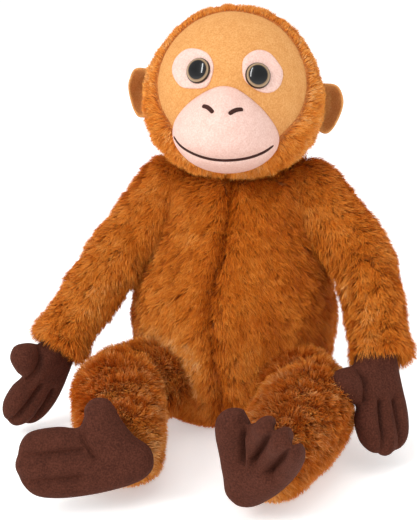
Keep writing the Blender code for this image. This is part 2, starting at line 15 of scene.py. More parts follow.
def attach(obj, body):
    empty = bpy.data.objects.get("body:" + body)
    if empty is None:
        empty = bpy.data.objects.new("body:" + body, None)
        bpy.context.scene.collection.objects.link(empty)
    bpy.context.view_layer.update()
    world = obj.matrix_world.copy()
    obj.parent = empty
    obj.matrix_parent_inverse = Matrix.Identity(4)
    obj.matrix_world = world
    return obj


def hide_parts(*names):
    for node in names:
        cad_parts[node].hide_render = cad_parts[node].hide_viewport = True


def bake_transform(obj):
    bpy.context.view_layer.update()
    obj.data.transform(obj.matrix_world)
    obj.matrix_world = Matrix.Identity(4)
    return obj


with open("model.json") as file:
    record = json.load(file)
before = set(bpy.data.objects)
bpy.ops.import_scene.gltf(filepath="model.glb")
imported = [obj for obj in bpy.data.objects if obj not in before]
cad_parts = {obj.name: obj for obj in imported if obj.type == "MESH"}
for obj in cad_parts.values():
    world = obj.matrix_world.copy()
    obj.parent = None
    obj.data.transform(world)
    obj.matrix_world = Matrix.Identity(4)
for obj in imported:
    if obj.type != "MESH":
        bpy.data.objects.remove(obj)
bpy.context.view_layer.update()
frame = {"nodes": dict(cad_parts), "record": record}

MM = 0.001
SIDES = {"left": 1, "right": -1}

# Where the cloth under the pile lies, in from the solids' outer faces, which stand for pile that is laid down
BACKING = 3.5
VELBOA = 2.0  # thickness of the short-pile cloth
AROUND = 144  # points round the torso, the head and the muzzle

# ---------------------------------------------------------------- curves and meshes


def between(values, share):
    """The values a share of the way along evenly spaced ones, by a smooth curve through them."""
    values = np.asarray(values, float)
    share = np.asarray(share, float)
    place = np.clip(share, 0.0, 1.0) * (len(values) - 1)
    i = np.minimum(place.astype(int), len(values) - 2)
    t = (place - i).reshape(place.shape + (1,) * (values.ndim - 1))
    a, b = values[i], values[i + 1]
    before = values[np.maximum(i - 1, 0)]
    after = values[np.minimum(i + 2, len(values) - 1)]
    bend = (b - before) / 2 * (t**3 - 2 * t**2 + t) + (after - a) / 2 * (t**3 - t**2)
    return a * (2 * t**3 - 3 * t**2 + 1) + b * (3 * t**2 - 2 * t**3) + bend


def closed_curve(points, count):
    """Points evenly along a smooth closed curve through given ones."""
    points = [tuple(p) for p in points]
    wrapped = points[-2:] + points + points[:3]
    return between(wrapped, (2 + len(points) * np.arange(count) / count) / (len(wrapped) - 1))


def unit(vectors):
    vectors = np.asarray(vectors, float)
    return vectors / np.maximum(np.linalg.norm(vectors, axis=-1, keepdims=True), 1e-9)


def round_angles(count):
    return 2 * np.pi * np.arange(count) / count


def angle_off(angle, middle):
    """How far an angle is from a middle one, between half a turn back and half a turn on."""
    return (angle - middle + np.pi) % (2 * np.pi) - np.pi


def rounded(distance, width):
    """0 at an edge, rising like a quarter of a circle to 1 at a width in from it."""
    return np.sqrt(np.clip(1 - (1 - np.minimum(distance / width, 1)) ** 2, 0, 1))


def bump(distance, width):
    """1 at no distance, falling smoothly to 0 past a width."""
    return np.exp(-((np.asarray(distance) / width) ** 2))


def lumps(points, size, seed):
    """Smooth random heights from -1 to 1 over points, with lumps of a size."""
    shift = Vector((seed * 7.31, seed * 3.17, seed * 5.77))
    flat = np.asarray(points, float).reshape(-1, 3)
    heights = [noise.noise(Vector(p) / size + shift) for p in flat]
    return np.array(heights).reshape(np.shape(points)[:-1])


def line_gap(points, line):
    """How far 2D points are from a polyline."""
    points = np.asarray(points, float)
    line = np.asarray(line, float)
    best = np.full(points.shape[:-1], 1e9)
    for a, b in zip(line, line[1:]):
        along = np.clip(((points - a) @ (b - a)) / max((b - a) @ (b - a), 1e-9), 0, 1)
        best = np.minimum(best, np.linalg.norm(points - a - along[..., None] * (b - a), axis=-1))
    return best


def closed_mesh(name, rows, finish, attributes=None):
    """A closed mesh from rows of loops of points, with each end closed by a fan."""
    rows = np.asarray(rows, float)
    count, around = rows.shape[:2]
    points = rows.reshape(-1, 3)
    grid = np.arange(count * around).reshape(count, around)
    low, high = grid[:-1], grid[1:]
    quads = np.stack([low, np.roll(low, -1, 1), np.roll(high, -1, 1), high], -1).reshape(-1, 4).tolist()
    points = np.vstack([points, rows[0].mean(0), rows[-1].mean(0)])
    first, last = count * around, count * around + 1
    quads += [[first, b, a] for a, b in zip(grid[0], np.roll(grid[0], -1))]
    quads += [[last, a, b] for a, b in zip(grid[-1], np.roll(grid[-1], -1))]
    mesh = bpy.data.meshes.new(name)
    mesh.from_pydata((points * MM).tolist(), [], [list(map(int, q)) for q in quads])
    for key, values in (attributes or {}).items():
        values = np.asarray(values, float)
        values = values.reshape((-1, 3) if values.ndim == 3 else -1)
        values = np.concatenate([values, values[:1] * 0, values[-1:] * 0])
        kind, field = ("FLOAT_VECTOR", "vector") if values.ndim == 2 else ("FLOAT", "value")
        mesh.attributes.new(key, kind, "POINT").data.foreach_set(field, values.astype(np.float32).ravel())
    made = add_object(name, mesh)
    face_out(made)
    made.data.materials.append(finish)
    made.data.shade_smooth()
    return made


def add_object(name, data):
    made = bpy.data.objects.new(name, data)
    bpy.context.scene.collection.objects.link(made)
    return made


def lay_map(piece, name, places):
    """Gives a piece a UV map, from a place for each of its points."""
    layer = piece.data.uv_layers.new(name=name)
    corners = np.array([loop.vertex_index for loop in piece.data.loops])
    layer.data.foreach_set("uv", places[corners].astype(np.float32).ravel())


def face_out(piece):
    """Turns a closed mesh's faces outwards, by the sign of its volume."""
    mesh = piece.data
    mesh.calc_loop_triangles()
    points = np.array([v.co for v in mesh.vertices])
    corners = points[np.array([t.vertices for t in mesh.loop_triangles])]
    if np.einsum("ij,ij->i", corners[:, 0], np.cross(corners[:, 1], corners[:, 2])).sum() < 0:
        mesh.flip_normals()


# ---------------------------------------------------------------- materials


def linear(hex_colour):
    """An sRGB hex colour as linear RGBA."""
    parts = [int(hex_colour[k : k + 2], 16) / 255 for k in (1, 3, 5)]
    return (*[c / 12.92 if c <= 0.04045 else ((c + 0.055) / 1.055) ** 2.4 for c in parts], 1.0)


def feed(tree, node, inputs):
    """Gives a node's inputs their values, or links them to a socket or to a node's first live output."""
    for key, value in inputs.items():
        if isinstance(value, bpy.types.Node):
            value = next(socket for socket in value.outputs if socket.enabled)
        if isinstance(value, bpy.types.NodeSocket):
            tree.links.new(value, node.inputs[key])
        else:
            node.inputs[key].default_value = value


def add(tree, kind, inputs=None, stops=(), **settings):
    """Adds a node with its settings, its inputs, and the (place, hex colour) stops of its ramp."""
    made = tree.nodes.new(kind)
    for key, value in settings.items():
        setattr(made, key, value)
    for k, (place, colour) in enumerate(stops):
        band = made.color_ramp.elements
        stop = band[k] if k < 2 else band.new(place)
        stop.position = place
        stop.color = linear(colour)
    feed(tree, made, inputs or {})
    return made


def start(name, values):
    """A new material with its Principled shader's own values."""
    made = bpy.data.materials.new(name)
    made.use_nodes = True
    shader = made.node_tree.nodes["Principled BSDF"]
    feed(made.node_tree, shader, values)
    return made, made.node_tree, shader


def long_pile():
    """Acrylic long-pile plush: each fibre is matt and darker at its root than at its tip, a painted shade
    that stands for the pile shading itself deep down.
    """
    made, tree, shader = start("long_pile_plush", {"Roughness": 0.6, "Specular IOR Level": 0.12})
    # Across the map lies a fibre's tone, and up it the way from root to tip.
    place = add(tree, "ShaderNodeUVMap", uv_map="OFBake")
    split = add(tree, "ShaderNodeSeparateXYZ", {"Vector": place})
    tone = add(
        tree, "ShaderNodeValToRGB", {"Fac": split.outputs["X"]},
        ((0.0, "#A84E08"), (0.3, "#CC6E16"), (0.55, "#E28A2C"), (0.8, "#F0A84E"), (1.0, "#FBD092")),
    )
    # Painted shade: each fibre's colour is darkened towards its root, deep in the pile
    height = add(
        tree, "ShaderNodeValToRGB", {"Fac": split.outputs["Y"]},
        ((0.0, "#A8704A"), (0.5, "#ECD4BE"), (1.0, "#FFFFFF")),
    )
    colour = add(
        tree, "ShaderNodeMix", {"Factor": 1.0, 6: tone, 7: height}, data_type="RGBA", blend_type="MULTIPLY"
    )
    feed(tree, shader, {"Base Color": colour})
    return made


def pile_backing():
    """The knitted backing under the pile, with the pile's own colour in its roots: a fine rib and fuzz."""
    made, tree, shader = start("knitted_backing", {"Roughness": 0.9, "Sheen Weight": 0.15})
    spot = add(tree, "ShaderNodeTexCoord").outputs["Object"]
    fuzz = add(tree, "ShaderNodeTexNoise", {"Vector": spot, "Scale": 1 / (1.6 * MM), "Detail": 4.0})
    colour = add(
        tree, "ShaderNodeValToRGB", {"Fac": fuzz}, ((0.3, "#94501A"), (0.55, "#B86C24"), (0.75, "#D08638"))
    )
    rough = add(tree, "ShaderNodeBump", {"Height": fuzz, "Distance": 0.8 * MM, "Strength": 0.8})
    feed(tree, shader, {"Base Color": colour, "Normal": rough})
    return made


def velboa(name, shade, middle, light, sheen):
    """Velboa: a polyester pile of about 1.5 mm, sheared short, whose tips part into matt and pale flecks."""
    made, tree, shader = start(name, {
        "Roughness": 0.88, "Specular IOR Level": 0.12, "Sheen Weight": sheen, "Sheen Roughness": 0.4,
        "Sheen Tint": linear(light),
    })
    spot = add(tree, "ShaderNodeTexCoord").outputs["Object"]
    # The tufts are about half a millimetre wide, and the pile was stroked another way every few millimetres.
    tuft, stroke = 0.55 * MM, 7.0 * MM
    tufts = add(tree, "ShaderNodeTexNoise", {"Vector": spot, "Scale": 1 / (2 * tuft), "Detail": 3.0})
    nap = add(
        tree, "ShaderNodeTexNoise", {"Vector": spot, "Scale": 1 / stroke, "Detail": 2.0, "Distortion": 0.6}
    )
    fine = add(tree, "ShaderNodeTexNoise", {"Vector": spot, "Scale": 1 / tuft, "Detail": 2.0})
    mixed = add(tree, "ShaderNodeMix", {"Factor": 0.22, 2: tufts, 3: nap})
    colour = add(tree, "ShaderNodeValToRGB", {"Fac": mixed}, ((0.34, shade), (0.5, middle), (0.66, light)))
    heights = add(tree, "ShaderNodeMath", {0: fine, 1: tufts}, operation="ADD")
    rough = add(tree, "ShaderNodeBump", {"Height": heights, "Distance": 0.45 * MM, "Strength": 0.55})
    feed(tree, shader, {"Base Color": colour, "Normal": rough})
    return made


def embroidery():
    """Rayon embroidery thread in satin stitch: strands laid side by side, with a dull gloss."""
    made, tree, shader = start("embroidery_thread", {"Roughness": 0.6, "Specular IOR Level": 0.12})
    place = add(tree, "ShaderNodeUVMap", uv_map="thread")  # in millimetres along the line
    strands = add(
        tree, "ShaderNodeTexWave", {"Vector": place, "Scale": 0.4, "Distortion": 1.2, "Detail": 2.0}
    )
    shine = strands.outputs["Fac"]
    # Painted sheen and shade: each strand's crown is painted lighter and the groove between strands darker,
    # from the same wave as the bump
    colour = add(
        tree, "ShaderNodeValToRGB", {"Fac": shine}, ((0.1, "#22100C"), (0.6, "#40221C"), (0.95, "#5C362E"))
    )
    rough = add(tree, "ShaderNodeBump", {"Height": shine, "Distance": 0.3 * MM})
    feed(tree, shader, {"Base Color": colour, "Normal": rough})
    return made


def eye_acrylic():
    """A safety eye of clear acrylic, glossy as glass, printed behind with a black pupil in a taupe iris."""
    made, tree, shader = start("printed_acrylic_eye", {
        "Roughness": 0.3, "Specular IOR Level": 0.1, "Coat Weight": 0.6, "Coat Roughness": 0.02,
    })
    # Across the map lies the way from the pupil's middle to the eye's edge.
    place = add(tree, "ShaderNodeUVMap", uv_map="iris")
    split = add(tree, "ShaderNodeSeparateXYZ", {"Vector": place})
    flecks = add(tree, "ShaderNodeTexNoise", {"Vector": place, "Scale": 18.0, "Detail": 3.0})
    wander = add(
        tree, "ShaderNodeMath", {0: flecks, 1: 0.02, 2: split.outputs["X"]}, operation="MULTIPLY_ADD"
    )
    colour = add(
        tree, "ShaderNodeValToRGB", {"Fac": wander},
        ((0.0, "#050607"), (0.735, "#07080A"), (0.765, "#6F5A44"), (0.82, "#94795A"), (0.90, "#A58B6B"),
         (0.935, "#35261C"), (0.99, "#2A1D15")),
    )
    feed(tree, shader, {"Base Color": colour})
    return made


def plain_stuffing():
    """Loose polyester fibre, off-white and matt."""
    made, tree, shader = start("polyester_fibre", {"Roughness": 1.0, "Sheen Weight": 0.3})
    spot = add(tree, "ShaderNodeTexCoord").outputs["Object"]
    wisps = add(
        tree, "ShaderNodeTexNoise", {"Vector": spot, "Scale": 1 / (4 * MM), "Detail": 6.0, "Distortion": 2.0}
    )
    colour = add(tree, "ShaderNodeValToRGB", {"Fac": wisps}, ((0.3, "#D8D5CC"), (0.7, "#F4F2EC")))
    feed(tree, shader, {"Base Color": colour})
    return made


def pellet_cloth():
    """A bag of plain-woven cotton, with threads every 0.8 mm."""
    made, tree, shader = start("woven_cotton", {"Roughness": 0.9})
    spot = add(tree, "ShaderNodeTexCoord").outputs["Object"]
    weave = add(tree, "ShaderNodeTexChecker", {
        "Vector": spot, "Scale": 1 / (0.8 * MM), "Color1": linear("#DAD4C4"), "Color2": linear("#C4BCA8"),
    })
    feed(tree, shader, {"Base Color": weave})
    return made


def moulded_nylon():
    """The natural nylon of a safety eye's lock washer, with a faint moulded grain."""
    made, tree, shader = start("moulded_nylon", {"Roughness": 0.45})
    spot = add(tree, "ShaderNodeTexCoord").outputs["Object"]
    grain = add(tree, "ShaderNodeTexNoise", {"Vector": spot, "Scale": 1 / (0.5 * MM)})
    colour = add(tree, "ShaderNodeValToRGB", {"Fac": grain}, ((0.3, "#D6D2C6"), (0.7, "#E8E5DC")))
    feed(tree, shader, {"Base Color": colour})
    return made


PILE = long_pile()
CLOTH = pile_backing()
TAN = velboa("tan_velboa", "#C8864A", "#D49656", "#DDA468", 0.12)
PINK = velboa("pink_velboa", "#DCB2A4", "#E5BFB2", "#EDCCC1", 0.06)
BROWN = velboa("brown_velboa", "#3C1D13", "#4A2519", "#582F22", 0.45)
THREAD = embroidery()
EYE = eye_acrylic()

# ---------------------------------------------------------------- the pile


def strand():
    """One tuft of fibres, a unit high: a tapered blade that bends over towards +X."""
    bend = 0.34
    points, across, along = [], [], []
    for height, wide in ((0.0, 0.85), (0.52, 1.0)):
        for side in (-1, 1):
            points.append((bend * height**2, side * wide * 0.5, height))
            across.append(side)
            along.append(height)
    points.append((bend, 0.0, 1.0))
    mesh = bpy.data.meshes.new("tuft")
    mesh.from_pydata(points, [], [(0, 1, 3, 2), (2, 3, 4)])
    for key, values in (("across", across + [0]), ("along", along + [1.0])):
        mesh.attributes.new(key, "FLOAT", "POINT").data.foreach_set("value", np.array(values, np.float32))
    made = add_object("tuft", mesh)
    made.hide_render = True
    made.hide_viewport = True
    return made


def pile_tree():
    """Geometry Nodes that plant tufts on a backing, lean them as it was combed, and gather them in locks."""
    tree = bpy.data.node_groups.new("planted_pile", "GeometryNodeTree")
    sockets = (
        ("Backing", "Geometry"), ("Tuft", "Object"), ("Finish", "Material"), ("Density", "Float"),
        ("Length", "Float"), ("Width", "Float"), ("Lay", "Float"), ("Lock size", "Float"),
        ("Lock pull", "Float"), ("Wander", "Float"), ("Seed", "Int"),
    )
    for name, kind in sockets:
        tree.interface.new_socket(name, in_out="INPUT", socket_type=f"NodeSocket{kind}")
    tree.interface.new_socket("Pile", in_out="OUTPUT", socket_type="NodeSocketGeometry")
    given = add(tree, "NodeGroupInput").outputs
    stored = {}
    for name in ("comb", "thick", "pile", "shade", "tone", "across", "along"):
        kind = "FLOAT_VECTOR" if name == "comb" else "FLOAT"
        stored[name] = add(tree, "GeometryNodeInputNamedAttribute", {"Name": name}, data_type=kind)
    # What each tuft draws for itself, between a low and a high number, each with a seed of its own
    drawn = {}
    for name, low, high, salt in (
        ("length", 0.72, 1.12, 3), ("spin", -0.9, 0.9, 5), ("tone", 0.0, 1.0, 9), ("width", 0.7, 1.2, 11),
    ):
        seed = add(tree, "ShaderNodeMath", {0: given["Seed"], 1: salt}, operation="ADD")
        drawn[name] = add(tree, "FunctionNodeRandomValue", {2: low, 3: high, "Seed": seed}, data_type="FLOAT")

    thick = add(tree, "ShaderNodeMath", {0: given["Density"], 1: stored["thick"]}, operation="MULTIPLY")
    planted = add(
        tree, "GeometryNodeDistributePointsOnFaces",
        {"Mesh": given["Backing"], "Density": thick, "Seed": given["Seed"]}, distribute_method="RANDOM",
    )
    normal = planted.outputs["Normal"]
    spot = add(tree, "GeometryNodeInputPosition")
    grown = add(tree, "ShaderNodeMath", {0: stored["pile"], 1: drawn["length"]}, operation="MULTIPLY")
    length = add(tree, "ShaderNodeMath", {0: given["Length"], 1: grown}, operation="MULTIPLY")

    # Big locks and small ones: each pulls its tufts to its middle, and has a lean and a tone of its own.
    pulls, leans, tones = [], [], []
    for size_share, pull_share, lean_share in ((1.0, 1.0, 0.5), (0.36, 0.9, 0.3)):
        size = add(tree, "ShaderNodeMath", {0: given["Lock size"], 1: size_share}, operation="MULTIPLY")
        scale = add(tree, "ShaderNodeMath", {0: 1.0, 1: size}, operation="DIVIDE")
        lock = add(tree, "ShaderNodeTexVoronoi", {"Vector": spot, "Scale": scale, "Randomness": 1.0})
        away = add(tree, "ShaderNodeVectorMath", {0: lock.outputs["Position"], 1: spot}, operation="SUBTRACT")
        pull = add(tree, "ShaderNodeMath", {0: given["Lock pull"], 1: pull_share}, operation="MULTIPLY")
        spread = add(tree, "ShaderNodeMath", {0: pull, 1: length}, operation="DIVIDE")
        pulls.append(add(tree, "ShaderNodeVectorMath", {0: away, "Scale": spread}, operation="SCALE"))
        own = lock.outputs["Color"]
        lean = add(tree, "ShaderNodeVectorMath", {0: own, 1: (0.5, 0.5, 0.5)}, operation="SUBTRACT")
        leans.append(add(tree, "ShaderNodeVectorMath", {0: lean, "Scale": lean_share}, operation="SCALE"))
        tones.append(add(tree, "ShaderNodeSeparateXYZ", {0: own}).outputs)
    waver = add(
        tree, "FunctionNodeRandomValue", {0: (-1, -1, -1), 1: (1, 1, 1), "Seed": given["Seed"]},
        data_type="FLOAT_VECTOR",
    )
    wander = add(tree, "ShaderNodeVectorMath", {0: waver, "Scale": given["Wander"]}, operation="SCALE")
    laid = add(tree, "ShaderNodeVectorMath", {0: stored["comb"], "Scale": given["Lay"]}, operation="SCALE")
    way = normal
    for part in (laid, *pulls, *leans, wander):
        way = add(tree, "ShaderNodeVectorMath", {0: way, 1: part}, operation="ADD")
    # No tuft points into the backing.
    rise = add(tree, "ShaderNodeVectorMath", {0: way, 1: normal}, operation="DOT_PRODUCT").outputs["Value"]
    short = add(tree, "ShaderNodeMath", {0: 0.35, 1: rise}, operation="SUBTRACT")
    short = add(tree, "ShaderNodeMath", {0: short, 1: 0.0}, operation="MAXIMUM")
    lift = add(tree, "ShaderNodeVectorMath", {0: normal, "Scale": short}, operation="SCALE")
    way = add(tree, "ShaderNodeVectorMath", {0: way, 1: lift}, operation="ADD")

    turned = add(
        tree, "FunctionNodeAxesToRotation", {0: way, 1: stored["comb"]}, primary_axis="Z", secondary_axis="X"
    )
    spin = add(tree, "ShaderNodeCombineXYZ", {"Z": drawn["spin"]})
    spin_turn = add(tree, "FunctionNodeEulerToRotation", {0: spin})
    turned = add(tree, "FunctionNodeRotateRotation", {0: turned, 1: spin_turn}, rotation_space="LOCAL")

    # Patches of tone about 20 mm across, from brushing and fading
    patches = add(tree, "ShaderNodeTexNoise", {"Vector": spot, "Scale": 1 / (20 * MM), "Detail": 3.0})
    tone = stored["shade"]
    for value, share in ((tones[0][0], 0.16), (tones[1][1], 0.16), (patches, 0.7), (drawn["tone"], 0.3)):
        off = add(tree, "ShaderNodeMath", {0: value, 1: share, 2: -share / 2}, operation="MULTIPLY_ADD")
        tone = add(tree, "ShaderNodeMath", {0: tone, 1: off}, operation="ADD")
    tone = add(tree, "ShaderNodeMath", {0: tone, 1: 1.0}, operation="MINIMUM")
    tone = add(tree, "ShaderNodeMath", {0: tone, 1: 0.0}, operation="MAXIMUM")
    toned = add(
        tree, "GeometryNodeStoreNamedAttribute",
        {"Geometry": planted.outputs["Points"], "Name": "tone", "Value": tone},
        data_type="FLOAT", domain="POINT",
    )
    wide = add(tree, "ShaderNodeMath", {0: given["Width"], 1: drawn["width"]}, operation="MULTIPLY")
    size = add(tree, "ShaderNodeCombineXYZ", {"X": length, "Y": wide, "Z": length})
    shape = add(tree, "GeometryNodeObjectInfo", {"Object": given["Tuft"]})
    tufts = add(
        tree, "GeometryNodeInstanceOnPoints",
        {"Points": toned, "Instance": shape.outputs["Geometry"], "Rotation": turned, "Scale": size},
    )
    real = add(tree, "GeometryNodeRealizeInstances", {0: tufts})
    # The map keeps a small margin, so that a baked picture of it does not bleed at its edges.
    share, margin, blade = 0.94, 0.03, 0.006
    middle = add(tree, "ShaderNodeMath", {0: stored["tone"], 1: share, 2: margin}, operation="MULTIPLY_ADD")
    across = add(tree, "ShaderNodeMath", {0: stored["across"], 1: blade, 2: middle}, operation="MULTIPLY_ADD")
    up = add(tree, "ShaderNodeMath", {0: stored["along"], 1: share, 2: margin}, operation="MULTIPLY_ADD")
    place = add(tree, "ShaderNodeCombineXYZ", {"X": across, "Y": up})
    mapped = add(
        tree, "GeometryNodeStoreNamedAttribute", {"Geometry": real, "Name": "OFBake", "Value": place},
        data_type="FLOAT2", domain="CORNER",
    )
    smooth = add(tree, "GeometryNodeSetShadeSmooth", {0: mapped})
    done = add(tree, "GeometryNodeSetMaterial", {"Geometry": smooth, "Material": given["Finish"]})
    add(tree, "NodeGroupOutput", {0: done})
    return tree


TUFT = strand()
TREE = pile_tree()
SOCKETS = {s.name: s.identifier for s in TREE.interface.items_tree if s.in_out == "INPUT"}


def plant(name, backing, seed, thick=None, **sizes):
    """The pile on a backing, as a plain mesh. thick is where it grows, a share for each of its points.

    The density is in tufts per square metre: 3 of them stand on each square millimetre.
    """
    work = add_object("work", backing.data.copy())
    if thick is not None:
        own = np.zeros(len(work.data.vertices), np.float32)
        work.data.attributes["thick"].data.foreach_get("value", own)
        work.data.attributes["thick"].data.foreach_set("value", own * thick.astype(np.float32))
    grow = work.modifiers.new("pile", "NODES")
    grow.node_group = TREE
    values = {
        "Tuft": TUFT, "Finish": PILE, "Density": 3.0e6, "Length": 7.5 * MM, "Width": 0.5 * MM, "Lay": 0.75,
        "Lock size": 7 * MM, "Lock pull": 0.22, "Wander": 0.25, "Seed": seed,
    }
    for key, value in (values | sizes).items():
        grow[SOCKETS[key]] = value
    graph = bpy.context.evaluated_depsgraph_get()
    mesh = bpy.data.meshes.new_from_object(work.evaluated_get(graph), depsgraph=graph)
    mesh.name = name
    for spare in ("tone", "across", "along", "comb", "pile", "thick", "shade"):
        if spare in mesh.attributes:
            mesh.attributes.remove(mesh.attributes[spare])
    bpy.data.objects.remove(work)
    made = add_object(name, mesh)
    return made


# ---------------------------------------------------------------- the torso

# Heights up the torso, with its half width, its depth to the front and its depth to the back there
TORSO = (
    (0.0, 50.0, 48.0, 46.0),
    (3.0, 58.0, 55.0, 52.0),
    (18.0, 67.0, 63.0, 57.0),
    (45.0, 74.5, 69.0, 58.0),
    (80.0, 77.0, 71.0, 57.0),
    (105.0, 73.5, 65.0, 54.0),
    (130.0, 65.0, 56.0, 48.0),
    (152.0, 58.0, 48.0, 44.0),
    (165.0, 55.0, 44.0, 41.0),
    (175.0, 48.0, 38.0, 36.0),
    (181.0, 34.0, 27.0, 26.0),
    (184.0, 6.0, 5.0, 5.0),
)
TORSO_ROWS = 84
BELLY_TURN = math.radians(-6.0)
BELLY_SAG = 3.5
SEAM_WIDTH = 5.5
FRONT_SEAM_DEPTH = 7.0
BACK_SEAM_DEPTH = 3.0
SIDE_SEAM_DEPTH = 2.0
SHOULDER = (50.0, 0.0, 166.0)
SHOULDER_RISE = (20.0, 15.0)  # the left one's and the right one's


def torso_rows():
    """Loops of points round the torso from the seat up, and the way that the pile is combed on them.

    Their heights and how far round they are from the front seam come with them.
    """
    heights = np.array([row[0] for row in TORSO])
    z = np.concatenate([[0.0], np.linspace(0.6, heights[-1], TORSO_ROWS - 1)])
    sizes = []
    for k in (1, 2, 3):
        fine = np.interp(z, heights, [row[k] for row in TORSO])
        eased = np.convolve(np.pad(fine, 2, "edge"), np.ones(5) / 5, "valid")
        sizes.append(np.where((z > 8) & (z < 176), eased, fine))
    wide, front, back = sizes
    angle = round_angles(AROUND)
    cos, sin = np.cos(angle), np.sin(angle)
    deep = np.where(sin < 0, 1, 0) * front[:, None] + np.where(sin < 0, 0, 1) * back[:, None]
    rows = np.stack([wide[:, None] * cos, deep * sin, np.broadcast_to(z[:, None], deep.shape)], -1)
    out = unit(np.stack([cos / wide[:, None], sin / deep, np.zeros_like(deep)], -1))
    inward = BACKING + np.zeros_like(deep)
    # The front seam wanders a little; the sides' and the back's are straight.
    seam = -np.pi / 2 + 0.04 * np.sin(z / 21)
    straight = ((np.pi / 2, BACK_SEAM_DEPTH), (0.0, SIDE_SEAM_DEPTH), (np.pi, SIDE_SEAM_DEPTH))
    for middle, depth in ((seam[:, None], FRONT_SEAM_DEPTH), *straight):
        off = angle_off(angle[None], middle)
        inward += depth * bump(off * wide[:, None], SEAM_WIDTH)
    inward -= 1.6 * lumps(rows, 26.0, 1) + 0.8 * lumps(rows, 11.0, 2)
    low = np.clip(z / 12, 0, 1)[:, None]
    rows = rows - out * (inward * low)[..., None]
    # Slopes of stuffing rise from the neck to the shoulders, and the belly sags a little to the toy's right.
    rise = np.where(rows[..., 0] > 0, *SHOULDER_RISE) * np.clip((z - 140) / 35, 0, 1)[:, None]
    rows[..., 2] += rise * bump(np.abs(rows[..., 0]) - SHOULDER[0], 14)
    rows[..., 0] -= BELLY_SAG * bump(z - 78, 55)[:, None]
    side = angle_off(angle[None], seam[:, None])
    around_way = np.stack([-sin, cos, np.zeros_like(sin)], -1)
    fan = np.sign(side) * (0.25 + 0.75 * bump(side, 0.35))
    comb = unit(np.array([0, 0, -1.0]) + around_way * (fan * 0.55)[..., None] + 0.35 * out)
    turn = np.array(Matrix.Rotation(BELLY_TURN, 3, "Z"))
    return rows @ turn.T, comb @ turn.T, z, side


def make_torso():
    rows, comb, z, side = torso_rows()
    grown = np.broadcast_to((z > 1.5)[:, None], rows.shape[:2]).astype(float)
    pile = np.ones(rows.shape[:2]) * np.clip(0.3 + z / 16, 0.3, 1.0)[:, None] * (1 - 0.3 * bump(side, 0.1))
    # The pile is paler low on the belly to the toy's right. Painted shade darkens the toy's left flank, away
    # from the key lamp, and the groove of the front seam.
    belly = bump(np.abs(side + 0.45), 0.7) * bump(z - 52, 34)[:, None]
    shade = 0.54 + 0.3 * belly - 0.16 * bump(np.abs(side - 0.8), 0.8) - 0.3 * bump(side, 0.09)
    data = {"comb": comb, "thick": grown, "pile": pile, "shade": shade}
    cloth = closed_mesh("torso_cloth", rows, CLOTH, data)
    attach(cloth, "torso")
    corners = [f"torso_{end}_{name}" for end in ("front", "back") for name in SIDES]
    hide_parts(*corners, "seat_panel", "torso_stuffing")
    flat = np.concatenate([side.ravel(), [0, 0]])
    quarters = {
        "torso_fur_front_left": (0, np.pi / 2), "torso_fur_back_left": (np.pi / 2, np.pi),
        "torso_fur_front_right": (-np.pi / 2, 0), "torso_fur_back_right": (-np.pi, -np.pi / 2),
    }
    for k, (name, (low, high)) in enumerate(quarters.items()):
        fur = plant(name, cloth, 11 + k, (flat >= low) & (flat < high))
        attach(fur, "torso")
    return cloth


# ---------------------------------------------------------------- limbs


def chain(start_point, ways, lengths):
    """A limb's centre line: its joints, with two points that round the bend between them."""
    start_point = np.array(start_point, float)
    first = start_point + unit(ways[0]) * lengths[0]
    last = first + unit(ways[1]) * lengths[1]
    chord = (start_point + last) / 2
    return [start_point, start_point + (first - start_point) * 0.55, first + (chord - first) * 0.15,
            first + (last - first) * 0.45, last]


class Line:
    """A limb's centre line, with its places and ways at distances along it."""

    def __init__(self, points, hint):
        self.dense = between(points, np.linspace(0, 1, 121))
        steps = np.diff(self.dense, axis=0)
        self.run = np.concatenate([[0], np.cumsum(np.linalg.norm(steps, axis=1))])
        self.ways = unit(np.vstack([steps, steps[-1:]]))
        self.hint = np.array(hint, float)
        self.length = self.run[-1]

    def at(self, reach):
        """Centres, and ways along, across and up, at distances; the line runs on straight past its ends."""
        reach = np.asarray(reach, float)
        inside = np.clip(reach, 0, self.length)
        centre = np.stack([np.interp(inside, self.run, self.dense[:, k]) for k in range(3)], -1)
        way = unit(np.stack([np.interp(inside, self.run, self.ways[:, k]) for k in range(3)], -1))
        centre = centre + way * (reach - inside)[..., None]
        up = unit(self.hint - way * (way @ self.hint)[..., None])
        return centre, way, np.cross(way, up), up


ARM_WAYS = {"left": ((44, -28, -40), (11, -40, -48)), "right": ((43, -26, -52), (33, -36, -54))}
HIP = (42.0, -38.0, 36.0)
LEG_YAW = {"left": (21.0, -16.0), "right": (40.0, -16.0)}
LEG_RISE = {"left": (2.0, -8.5), "right": (1.0, -7.5)}
LIMB_AROUND = 96
LIMB_SEAM_DEPTH = 2.6
LIMB_SEAM_WIDTH = 5.0
# Lengths of the two halves, radii along them, where the seams run, where the folds lie past the bend and how
# deep, the pile's tone, tufts per square metre, their width in millimetres and their lay, and the two panels
LIMBS = {
    "arm": {
        "lengths": (66.0, 73.0), "radii": (27.0, 24.0, 23.0, 21.0, 20.0), "seams": (np.pi / 2, -np.pi / 2),
        "folds": (-6.0, 8.0), "fold_depth": 2.2, "tone": 0.55, "density": 3.1e6, "tuft": 0.48, "lay": 0.75,
        "panels": ("outer", "inner"),
    },
    "leg": {
        "lengths": (56.0, 76.0), "radii": (27.0, 29.5, 32.0, 30.5, 27.0), "seams": (0.0, np.pi),
        "folds": (-9.0, 5.0), "fold_depth": 3.4, "tone": 0.7, "density": 2.25e6, "tuft": 0.55, "lay": 0.4,
        "panels": ("upper", "lower"),
    },
}


